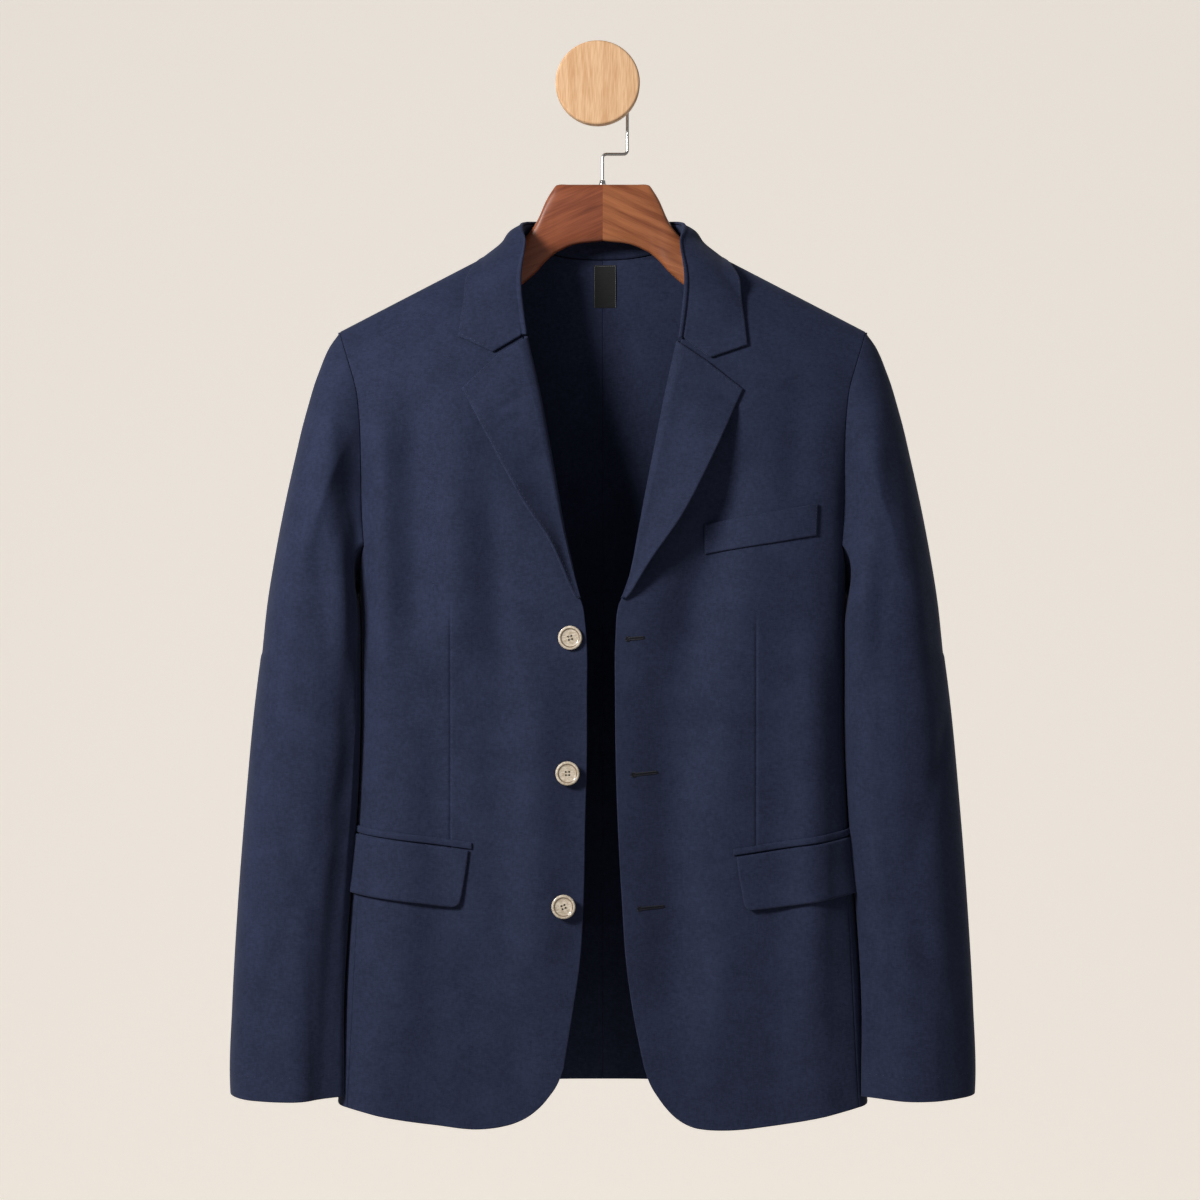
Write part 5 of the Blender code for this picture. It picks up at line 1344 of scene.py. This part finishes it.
def button_mesh(centre, tilt):
    """Horn button: a raised rim and a dished middle, turned about its own axis by tilt."""
    profile = [(-BUTTON_THICKNESS * depth, BUTTON_RADIUS * share) for depth, share in BUTTON_PROFILE]
    points, faces = turned_rings(profile, 64, (0.0, 0.0, 0.0))
    turn = math.radians(tilt)
    out = []
    for x, y, z in points:
        out.append((x * math.cos(turn) - z * math.sin(turn), y, x * math.sin(turn) + z * math.cos(turn)))
    return np.array(out) + np.array(centre), faces


def make_buttons(horn, rim, hole, thread):
    """Buttons with a darker ring on the face, four dark sunk holes and two strands of thread across them."""
    for number, (x, z) in enumerate(BUTTONS, start=1):
        beside = (-BUTTON_RADIUS, 0.0, BUTTON_RADIUS)
        y = min(float(front_y(abs(x) + step, z, "right")) for step in beside) - CLEAR
        points, faces = button_mesh((CENTRE_X + x, y, z), BUTTON_TURN[number - 1])
        item = solid(f"button_{number}_horn", points, faces, horn, [f"button_{number}"])
        item.data.materials.append(rim)
        for face in item.data.polygons:
            share = math.hypot(face.center.x - CENTRE_X - x, face.center.z - z) / BUTTON_RADIUS
            if BUTTON_RING[0] < share < BUTTON_RING[1]:
                face.material_index = 1
        places = []
        for k in range(4):
            angle = math.radians(BUTTON_TURN[number - 1] + 45) + k * math.pi / 2
            out, up = BUTTON_HOLE_RING * math.cos(angle), BUTTON_HOLE_RING * math.sin(angle)
            places.append((CENTRE_X + x + out, y - BUTTON_THICKNESS * BUTTON_DISH, z + up))
        strands = []
        for a, b in ((0, 1), (2, 3)):
            t = np.linspace(0.0, 1.0, 9)[:, None]
            line = np.array(places[a]) + (np.array(places[b]) - np.array(places[a])) * t
            line[:, 1] -= THREAD_RISE * np.sin(math.pi * t[:, 0])
            strands.append(tube_mesh(line, THREAD_RADIUS, 8))
        holes = [turned_rings(BUTTON_HOLE_PROFILE, 20, place) for place in places]
        sew(f"button_{number}_holes", holes, hole)
        sew(f"button_{number}_thread", strands, thread)


def arc_points(centre, radius, start, end, count):
    angles = [math.radians(start + (end - start) * k / (count - 1)) for k in range(count)]
    return [(centre[0] + radius * math.cos(a), HOOK_Y, centre[1] + radius * math.sin(a)) for a in angles]


def make_hook(steel):
    """Wire hook over the peg's stem, stepped over to the hanger's middle, with its ferrule."""
    centre = (0.0, HOOK_CENTRE_Z)
    step_x, low_x = HOOK_RADIUS, CENTRE_X - 0.0002
    path = arc_points(centre, HOOK_RADIUS, 206, 0, 60)
    path.append((step_x, HOOK_Y, HOOK_STEP_Z + HOOK_BEND + 0.008))
    path += arc_points((step_x - HOOK_BEND, HOOK_STEP_Z + HOOK_BEND), HOOK_BEND, 0, -90, 14)
    path += arc_points((low_x + HOOK_BEND, HOOK_STEP_Z - HOOK_BEND), HOOK_BEND, 90, 180, 14)
    path.append((low_x, HOOK_Y, HANGER_TOP_Z + FERRULE_HEIGHT + 3 * SEAM_GAP))
    first, second = np.array(path[0]), np.array(path[1])
    path = [tuple(first + (first - second) * 0.35)] + path
    radii = HOOK_WIRE_RADIUS * np.array([0.55] + [1.0] * (len(path) - 1))
    points, faces = tube_mesh(path, HOOK_WIRE_RADIUS, 20, True, radii)
    solid("hook_wire", points, faces, steel, ["hook"])
    base = HANGER_TOP_Z + SEAM_GAP
    profile = [(FERRULE_HEIGHT * rise, FERRULE_RADIUS * share) for rise, share in FERRULE_PROFILE]
    points, faces = turned_rings(profile, 40, (0.0, 0.0, 0.0))
    points = [(low_x + x, HOOK_Y + z, base + y) for x, y, z in points]
    solid("ferrule_cup", points, faces, steel, ["ferrule"])


def make_peg(beech):
    """Turned peg: a stem from the wall and a disc with eased edges."""
    front, back = PEG_DISC_FRONT_Y, PEG_DISC_FRONT_Y + PEG_DISC_THICKNESS
    stem, disc, edge = PEG_STEM_RADIUS, PEG_DISC_RADIUS, PEG_EDGE
    profile = [
        (0.0, 0.0), (0.0, stem - 0.0006), (-0.0006, stem), (back + 0.006, stem),
        (back + 0.002, stem + 0.0006), (back + 0.0004, stem + 0.0022), (back, stem + 0.004),
    ]
    bend = [math.radians(a) for a in range(0, 91, 9)]
    profile += [(back - edge * (1 - math.cos(a)), disc - edge * (1 - math.sin(a))) for a in bend]
    profile += [(front + edge * (1 - math.sin(a)), disc - edge * (1 - math.cos(a))) for a in bend]
    profile += [(front, disc * 0.6), (front, 0.0)]
    points, faces = turned_rings(profile, 120, (0.0, 0.0, 0.0))
    solid("wall_peg_turned", points, faces, beech, ["wall_peg"])


def hanger_section(x):
    """Section of the hanger at a distance from the middle: (y, z) points round it, front top first."""
    top, low, thick, mid_y = (float(table_curve(HANGER_OUTLINE, column, x)) for column in (1, 2, 3, 4))
    least, start, over = HANGER_SQUARE
    square = least + (1.0 - least) * min(1.0, max(0.0, (x - start) / over))
    angle = 2 * math.pi * (np.arange(HANGER_AROUND) + 0.5) / HANGER_AROUND
    y = mid_y + 0.5 * thick * np.sign(np.cos(angle)) * np.abs(np.cos(angle)) ** square
    z = 0.5 * (top + low) + 0.5 * (top - low) * np.sign(np.sin(angle)) * np.abs(np.sin(angle)) ** square
    return np.stack([y, z], axis=1)


def make_hanger(wood_lit_and_shaded):
    """Two halves of a suit hanger, glued at the middle: each is a tapering arm under the shoulder line, in
    its own copy of the wood, darker on the right half as painted shade and lighter on the left half as
    painted light.
    """
    around = HANGER_AROUND
    for side, sign in SIDES.items():
        points, faces = [], []
        for i, x in enumerate(HANGER_STATIONS):
            section = hanger_section(float(x))
            middle = section.mean(axis=0)
            eased = min(1.0, math.sqrt(max(0.0, (HANGER_END_X - x) / HANGER_END_EASE)) * 0.85 + 0.15)
            section = middle + (section - middle) * eased
            points += [(CENTRE_X + sign * x, y, z) for y, z in section]
            if i:
                a, b = (i - 1) * around, i * around
                faces += [(a + k, a + (k + 1) % around, b + (k + 1) % around, b + k) for k in range(around)]
        faces.append(tuple(range(around)))
        faces.append(tuple(range(len(points) - around, len(points))))
        solid(f"hanger_{side}_wood", points, faces, wood_lit_and_shaded[side], [f"hanger_{side}"])


def make_neck_tab(tape, thread):
    """Blank ribbed tape sewn to the inside of the back below the neck seam."""
    across = clustered(60, (0.01, 0.03))[None, :]
    down = clustered(70, (0.006, 0.015))[:, None]
    x = TAB_WIDTH * (across - 0.5) + 0 * down
    z = TAB_TOP_Z - TAB_HEIGHT * down + 0 * across
    rib = TAB_RIB * np.sin(2 * math.pi * z / TAB_RIB_SPACING)
    y = back_y(np.abs(TAB_X + x), z) - CLOTH - CLEAR - rib
    y = y - 0.0006 * np.sin(math.pi * down)
    grid = np.stack([TAB_X + x, y, z], axis=2)
    laid_shell("neck_tab_tape", grid, TAB_THICKNESS, FRONTWARDS, (), EDGES, tape, "black_tape", ["neck_tab"])
    parts = []
    for edge in ("first_row", "first_column", "last_column"):
        line = line_inside(grid, edge, TAB_STITCH_INSET, FRONTWARDS)
        parts += stitches(line, *TAB_STITCH, (0.0008, 0.0008))
    sew("neck_tab_stitches", parts, thread)


# ---------------------------------------------------------------- stitching
def line_inside(grid, edge, distance, towards):
    """Points and outward directions of a grid's surface, at one distance in from the named edge."""
    runs = edge_runs(grid)[edge]
    both = np.concatenate([grid, unit_normals(grid, towards)], axis=2)
    if edge.endswith("row"):
        runs, both = runs.T, both.transpose(1, 0, 2)
    line = []
    for run, row in zip(runs, both):
        order = np.argsort(run)
        line.append([np.interp(distance, run[order], row[order, k]) for k in range(6)])
    return np.array(line)


def stitches(line, spacing, length, radius, skip=(0.0, 0.0)):
    """Short threads at even steps along a line, both ends sunk in the cloth."""
    run = run_along(line[:, :3])
    parts = []
    for middle in np.arange(skip[0] + spacing / 2, run[-1] - skip[1], spacing):
        at = middle + np.linspace(-0.5, 0.5, 5) * length
        row = np.stack([np.interp(at, run, line[:, k]) for k in range(6)], axis=1)
        rise = radius * np.array([-1.6, 0.1, 0.5, 0.1, -1.6])
        parts.append(tube_mesh(row[:, :3] + row[:, 3:] * rise[:, None], radius, 6))
    return parts


def sew(name, parts, thread):
    points, faces = joined(parts)
    return solid(name, points, faces, thread, ())


def buttonhole_outline(length):
    """Points round a keyhole slot and the directions away from it: one leg, the eyelet, the other leg."""
    start = math.asin(HOLE_SLOT / HOLE_EYE)
    legs = np.arange(HOLE_EYE, length, PURL_SPACING)
    turns = np.linspace(start, 2 * math.pi - start, 22)
    eyelet = [(HOLE_EYE * math.cos(a), HOLE_EYE * math.sin(a)) for a in turns]
    outline = [((run, HOLE_SLOT), (0.0, 1.0)) for run in legs[::-1]]
    outline += [(point, (math.cos(a), math.sin(a))) for point, a in zip(eyelet, turns)]
    return outline + [((run, -HOLE_SLOT), (0.0, -1.0)) for run in legs]


def make_buttonholes(thread, slit):
    """Keyhole buttonholes: a dark slot with purl stitches round it and a bar at its far end."""
    for number, (x, z, far_x, far_z) in enumerate(BUTTONHOLES, start=1):
        length = math.hypot(far_x - x, far_z - z)
        along = np.array([far_x - x, far_z - z]) / length
        beside = np.array([-along[1], along[0]])
        outline = buttonhole_outline(length)

        def on_cloth(points, lift):
            flat = np.array([x, z]) + points[:, :1] * along + points[:, 1:] * beside
            y = front_y(flat[:, 0], flat[:, 1], "left") - lift
            return np.stack([CENTRE_X + flat[:, 0], y, flat[:, 1]], axis=1)

        parts = []
        rise = np.array(PURL_RISE)
        reach = np.array(PURL_REACH)[:, None]
        for foot, out in outline:
            parts.append(tube_mesh(on_cloth(np.array(foot) + reach * np.array(out), rise), PURL_RADIUS, 5))
        for k in range(4):
            out = length + 0.0002 + 0.0004 * k
            bar = np.stack([np.full(5, out), np.linspace(-0.0016, 0.0016, 5)], axis=1)
            parts.append(tube_mesh(on_cloth(bar, rise), BAR_RADIUS, 5))
        sew(f"buttonhole_{number}_purl", parts, thread)
        rim = np.array([foot for foot, _ in outline])
        count = len(rim)
        points = np.concatenate([on_cloth(rim, 0.00015), on_cloth(rim, -0.0002)])
        faces = [tuple(range(count)), tuple(range(count, 2 * count))[::-1]]
        faces += [(k, k + count, (k + 1) % count + count, (k + 1) % count) for k in range(count)]
        solid(f"buttonhole_{number}_slot", points, faces, slit, ())


def sew_edges(grids, thread):
    """Fine prick stitches just inside the free edges of the lapels, the collar and the chest welt."""
    for side in SIDES:
        lapel = grids[f"lapel_{side}"]
        outer = line_inside(lapel, "last_column", EDGE_STITCH_INSET, FRONTWARDS)
        top = line_inside(lapel, "last_row", EDGE_STITCH_INSET, FRONTWARDS)
        parts = stitches(outer, *EDGE_STITCH, (0.004, 0.003))
        parts += stitches(top, *EDGE_STITCH, (run_along(top[:, :3])[-1] * 0.50, 0.003))
        sew(f"lapel_{side}_stitches", parts, thread)
    collar = grids["collar_fall"]
    outer = line_inside(collar, "last_column", EDGE_STITCH_INSET, BACKWARDS)
    parts = stitches(outer, *EDGE_STITCH, (0.003, 0.003))
    for edge in ("first_row", "last_row"):
        end = line_inside(collar, edge, EDGE_STITCH_INSET, BACKWARDS)
        parts += stitches(end, *EDGE_STITCH, (run_along(end[:, :3])[-1] * 0.62, 0.003))
    sew("collar_fall_stitches", parts, thread)
    parts = []
    for edge in ("first_column", "last_column"):
        line = line_inside(grids["chest_welt"], edge, WELT_STITCH_INSET, FRONTWARDS)
        parts += stitches(line, *WELT_STITCH, (0.001, 0.001))
    sew("chest_welt_stitches", parts, thread)


def sew_cuffs(grids, thread):
    """The sleeve hem's stitches, only just caught on the outside."""
    for side in SIDES:
        grid = grids[f"sleeve_{side}"]
        heights = grid[..., 2].mean(axis=1)
        row = int(np.argmin(np.abs(heights - CUFF_STITCH_Z)))
        line = grid[row]
        out = line - line.mean(axis=0)
        out[:, 2] = 0.0
        out = unit(out)
        parts = stitches(np.concatenate([line, out], axis=1), *CUFF_STITCH)
        sew(f"sleeve_{side}_stitches", parts, thread)


# ---------------------------------------------------------------- finishes
def new_material(name, roughness, **values):
    made = bpy.data.materials.new(name)
    made.use_nodes = True
    shader = made.node_tree.nodes["Principled BSDF"]
    shader.inputs["Roughness"].default_value = roughness
    for socket, value in values.items():
        shader.inputs[socket.replace("_", " ")].default_value = value
    return made, made.node_tree, shader


def noise(tree, size, detail=2.0, turn=0.0, swirl=0.0):
    """Noise in the coat's own coordinates: its grain's size along each axis, turned about the y axis."""
    place = tree.nodes.new("ShaderNodeTexCoord")
    stretch = tree.nodes.new("ShaderNodeMapping")
    stretch.vector_type = "TEXTURE"
    stretch.inputs["Rotation"].default_value = (0.0, math.radians(turn), 0.0)
    stretch.inputs["Scale"].default_value = size
    tree.links.new(place.outputs["Object"], stretch.inputs["Vector"])
    texture = tree.nodes.new("ShaderNodeTexNoise")
    texture.inputs["Scale"].default_value = 1.0
    texture.inputs["Detail"].default_value = detail
    texture.inputs["Distortion"].default_value = swirl
    tree.links.new(stretch.outputs["Vector"], texture.inputs["Vector"])
    return texture.outputs["Fac"]


def weighted(tree, *parts):
    """Sum of several values, each times its weight."""
    total = None
    for value, weight in parts:
        node = tree.nodes.new("ShaderNodeMath")
        node.operation = "MULTIPLY_ADD"
        tree.links.new(value, node.inputs[0])
        node.inputs[1].default_value = weight
        node.inputs[2].default_value = 0.0
        if total is not None:
            tree.links.new(total, node.inputs[2])
        total = node.outputs["Value"]
    return total


def spread(tree, value, low, high, least=0.0, most=1.0):
    node = tree.nodes.new("ShaderNodeMapRange")
    for socket, number in (("From Min", low), ("From Max", high), ("To Min", least), ("To Max", most)):
        node.inputs[socket].default_value = number
    tree.links.new(value, node.inputs["Value"])
    return node.outputs["Result"]


def colour_between(tree, shader, value, low, high, dark, light):
    mix = tree.nodes.new("ShaderNodeMix")
    mix.data_type = "RGBA"
    mix.inputs["A"].default_value = (*dark, 1.0)
    mix.inputs["B"].default_value = (*light, 1.0)
    tree.links.new(spread(tree, value, low, high), mix.inputs["Factor"])
    tree.links.new(mix.outputs["Result"], shader.inputs["Base Color"])


def bump(tree, shader, value, strength, distance):
    node = tree.nodes.new("ShaderNodeBump")
    node.inputs["Strength"].default_value = strength
    node.inputs["Distance"].default_value = distance
    tree.links.new(value, node.inputs["Height"])
    tree.links.new(node.outputs["Normal"], shader.inputs["Normal"])


def wool(name, dark, light):
    """Fine plain-woven wool: level and upright threads, a soft mottle, and the weave raised as bump."""
    made, tree, shader = new_material(
        name, 0.85, Sheen_Weight=0.12, Sheen_Roughness=0.45, Sheen_Tint=(0.55, 0.62, 0.88, 1.0),
        Specular_IOR_Level=0.22)
    level = noise(tree, (0.0042, 0.0042, 0.00075))
    upright = noise(tree, (0.0008, 0.0008, 0.0046))
    tone = weighted(tree, (level, 0.30), (upright, 0.22), (noise(tree, (0.0035,) * 3, 3.0), 0.26),
                    (noise(tree, (0.026,) * 3), 0.22))
    colour_between(tree, shader, tone, 0.40, 0.60, dark, light)
    bump(tree, shader, weighted(tree, (level, 0.5), (upright, 0.5)), 0.14, 0.0006)
    return made


def wood(name, dark, light, turn):
    """Varnished wood with its grain along the hanger's arm."""
    made, tree, shader = new_material(
        name, 0.42, Coat_Weight=0.45, Coat_Roughness=0.22, Specular_IOR_Level=0.4)
    bands = noise(tree, (0.085, 0.03, 0.0075), 2.0, turn, 0.6)
    fibres = noise(tree, (0.020, 0.004, 0.0007), 3.0, turn)
    colour_between(tree, shader, weighted(tree, (bands, 0.68), (fibres, 0.32)), 0.36, 0.62, dark, light)
    bump(tree, shader, fibres, 0.08, 0.0004)
    return made


def beech(name, dark, light):
    """Pale wood, lightly oiled: fine upright grain and a few broader figures."""
    made, tree, shader = new_material(name, 0.55, Specular_IOR_Level=0.3)
    fibres = noise(tree, (0.00085, 0.006, 0.014), 3.0, 3.0)
    figure = noise(tree, (0.0055, 0.02, 0.090), 2.0, -4.0, 0.8)
    colour_between(tree, shader, weighted(tree, (fibres, 0.52), (figure, 0.48)), 0.38, 0.62, dark, light)
    bump(tree, shader, fibres, 0.10, 0.0003)
    return made


def mottled(name, dark, light, size, roughness, swirl, coat):
    """A finish whose colour wanders between two tones."""
    made, tree, shader = new_material(name, roughness, Coat_Weight=coat)
    tone = noise(tree, size, 3.0, 0.0, swirl)
    colour_between(tree, shader, tone, 0.36, 0.64, dark, light)
    bump(tree, shader, tone, 0.05, 0.0002)
    return made


def drawn_steel(name):
    """Bright wire, drawn along its length, so its polish is a little uneven."""
    made, tree, shader = new_material(name, 0.2, Metallic=1.0)
    tone = noise(tree, (0.0006, 0.0006, 0.004), 2.0)
    colour_between(tree, shader, tone, 0.3, 0.7, (0.50, 0.49, 0.47), (0.74, 0.73, 0.71))
    tree.links.new(spread(tree, tone, 0.3, 0.7, 0.14, 0.30), shader.inputs["Roughness"])
    return made


# ---------------------------------------------------------------- body and sleeves
def make_sleeve(side, grid, inner, shares, cloth):
    """The two parts of a sleeve, divided at the forearm seam and the hind seam."""
    forearm = int(np.argmin(np.abs(shares - FOREARM_SEAM)))
    hind = int(np.argmin(np.abs(shares - HIND_SEAM)))
    last = grid.shape[1] - 1
    columns = {"top_sleeve": [*range(hind, last), *range(0, forearm + 1)],
               "under_sleeve": [*range(forearm, hind + 1)]}
    for piece, use in columns.items():
        faces = grid[:, use].copy(), inner[:, use].copy()
        for face in faces:
            face[0, :, 0] += SIDES[side] * SEAM_GAP
        rounded_shell(
            f"{piece}_{side}_cloth", *faces, ("first_row", "first_column", "last_column"),
            ("last_row",), cloth, "navy_cloth", [f"{piece}_{side}"])


def make_body(cloth):
    grids = {}
    shares = {}
    for side in SIDES:
        front = front_grid(side)
        back = back_grid(front)
        side_panel = side_grid(front, back, side)
        sleeve, shares[side] = sleeve_grid(front, side_panel, back, side)
        flip = side == "right"
        grids[f"front_{side}"] = (placed(front, side), not flip)
        grids[f"side_{side}"] = (placed(side_panel, side), not flip)
        grids[f"back_{side}"] = (placed(back, side), flip)
        grids[f"sleeve_{side}"] = (placed(sleeve, side), not flip)
    normals = quilt_normals(grids)
    seams = {"front": ("last_row", "last_column"), "side": ("first_column", "last_column", "last_row"),
             "back": ("first_column", "last_column", "last_row")}
    free = {"front": ("first_row", "first_column"), "side": ("first_row",), "back": ("first_row",)}
    for name, (grid, _) in grids.items():
        kind, side = name.split("_")
        inner = grid - normals[name] * CLOTH
        if kind == "sleeve":
            make_sleeve(side, grid, inner, shares[side], cloth)
        else:
            rounded_shell(f"{name}_cloth", grid, inner, seams[kind], free[kind], cloth, "navy_cloth", [name])
    return {name: grid for name, (grid, _) in grids.items()}


# ---------------------------------------------------------------- camera, lights and stage
CAMERA_PLACE = (0.002, -2.9, -0.454)
CAMERA_HALF_ANGLE = 10.51  # degrees from the middle of the frame to its edge
SENSOR_WIDTH = 36.0
LIGHTS = (
    # name, place, size, power, colour
    ("key", (-1.30, -1.38, 0.32), 0.50, 42.0, (1.0, 0.985, 0.96)),
    ("fill", (2.8, -3.2, 0.6), 2.6, 7.0, (0.96, 0.98, 1.0)),
)
LIT_PLACE = (0.0, 0.0, -0.5)  # the lights are turned towards this point
ROOM_LIGHT = (0.95, 0.96, 1.0, 1.0)
ROOM_STRENGTH = 0.16
FLOOR_REACH = 9
BACKDROP_REACH = 7
BACKDROP_TOP_Z = 4.5


def make_camera():
    data = bpy.data.cameras.new("camera")
    data.lens = 0.5 * SENSOR_WIDTH / math.tan(math.radians(CAMERA_HALF_ANGLE))
    data.sensor_width = SENSOR_WIDTH
    item = linked("camera", data)
    item.location = CAMERA_PLACE
    item.rotation_euler = (math.pi / 2, 0.0, 0.0)
    bpy.context.scene.camera = item


def make_lights():
    bpy.context.scene.view_settings.view_transform = "Standard"
    world = bpy.data.worlds.new("studio")
    world.use_nodes = True
    world.node_tree.nodes["Background"].inputs["Color"].default_value = ROOM_LIGHT
    world.node_tree.nodes["Background"].inputs["Strength"].default_value = ROOM_STRENGTH
    bpy.context.scene.world = world
    for name, place, size, power, colour in LIGHTS:
        data = bpy.data.lights.new(name, "AREA")
        data.size = size
        data.energy = power
        data.color = colour
        item = linked(name, data)
        item.location = place
        item.rotation_euler = (Vector(LIT_PLACE) - Vector(place)).to_track_quat("-Z", "Y").to_euler()


def make_stage():
    """A pale floor, and a pale backdrop well behind the coat."""
    floor = finish("pale_floor")
    back, _, _ = new_material(
        "pale_backdrop", 1.0, Base_Color=(0.80, 0.76, 0.70, 1.0),
        Emission_Color=(1.0, 0.93, 0.85, 1.0), Emission_Strength=0.55)
    a, b = FLOOR_REACH, BACKDROP_REACH
    level = [(x, y, FLOOR_Z) for x, y in ((-a, -a), (a, -a), (a, a), (-a, a))]
    low, high = FLOOR_Z, BACKDROP_TOP_Z
    upright = [(x, BACKDROP_Y, z) for x, z in ((-b, low), (b, low), (b, high), (-b, high))]
    for name, corners, paint in (("floor", level, floor), ("backdrop", upright, back)):
        mesh = bpy.data.meshes.new(name)
        mesh.from_pydata(corners, [], [(0, 1, 2, 3)])
        mesh.materials.append(paint)
        linked(name, mesh)


# Finishes whose colour wanders between two tones: darker tone, lighter tone, grain along x, y and z,
# roughness, swirl of the grain, clear coat
FINISHES = {
    "pale_floor": ((0.70, 0.67, 0.63), (0.74, 0.71, 0.67), (0.4,) * 3, 0.9, 0.0, 0.0),
    "navy_sewing_silk": ((0.014, 0.019, 0.045), (0.034, 0.043, 0.088), (0.002,) * 3, 0.55, 0.0, 0.0),
    "shaded_cloth_in_slot": ((0.002, 0.003, 0.006), (0.004, 0.005, 0.010), (0.001,) * 3, 0.9, 0.0, 0.0),
    "navy_buttonhole_silk": ((0.0025, 0.0034, 0.0085), (0.0065, 0.0085, 0.0200), (0.001,) * 3, 0.5, 0.0, 0.0),
    "greige_horn": ((0.50, 0.41, 0.30), (0.78, 0.69, 0.56), (0.0052, 0.004, 0.0026), 0.38, 1.6, 0.25),
    "greige_horn_rim": ((0.20, 0.145, 0.095), (0.38, 0.29, 0.21), (0.0060, 0.004, 0.0030), 0.34, 1.6, 0.3),
    "shaded_button_hole": ((0.012, 0.009, 0.006), (0.025, 0.018, 0.012), (0.001,) * 3, 0.8, 0.0, 0.0),
    "greige_thread": ((0.26, 0.21, 0.16), (0.42, 0.36, 0.29), (0.0004,) * 3, 0.7, 0.0, 0.0),
    "black_tape": (
        (0.0028, 0.0033, 0.0046), (0.0062, 0.0068, 0.0090), (0.004, 0.004, 0.0006), 0.85, 0.0, 0.0),
    "grey_thread": ((0.16, 0.16, 0.17), (0.30, 0.30, 0.31), (0.0006,) * 3, 0.7, 0.0, 0.0),
}


def finish(name):
    return mottled(name, *FINISHES[name])


def main():
    make_camera()
    make_lights()
    make_stage()
    cloth = wool("navy_wool", (0.0118, 0.0170, 0.0430), (0.0222, 0.0300, 0.0700))
    turned = wool("navy_wool_turned", (0.0121, 0.0173, 0.0435), (0.0225, 0.0303, 0.0705))
    sewing = finish("navy_sewing_silk")
    slot = finish("shaded_cloth_in_slot")
    grids = make_body(cloth)
    grids.update(make_lapels(turned))
    grids.update(make_collar(turned))
    grids.update(make_pockets(cloth))
    sew_edges(grids, sewing)
    sew_cuffs(grids, sewing)
    make_buttonholes(finish("navy_buttonhole_silk"), slot)
    make_buttons(*map(finish, ("greige_horn", "greige_horn_rim", "shaded_button_hole", "greige_thread")))
    make_hook(drawn_steel("bright_steel"))
    make_peg(beech("pale_beech", (0.66, 0.37, 0.185), (0.86, 0.56, 0.33)))
    # The hanger's halves get two copies of one wood: the right half's darker tones are painted shade, the
    # left half's lighter tones painted light.
    make_hanger({"right": wood("brown_wood_painted_shade_right", (0.155, 0.036, 0.014), (0.315, 0.088, 0.036), -24.0),
                 "left": wood("brown_wood_painted_light_left", (0.205, 0.055, 0.018), (0.395, 0.135, 0.050), 24.0)})
    make_neck_tab(finish("black_tape"), finish("grey_thread"))


main()
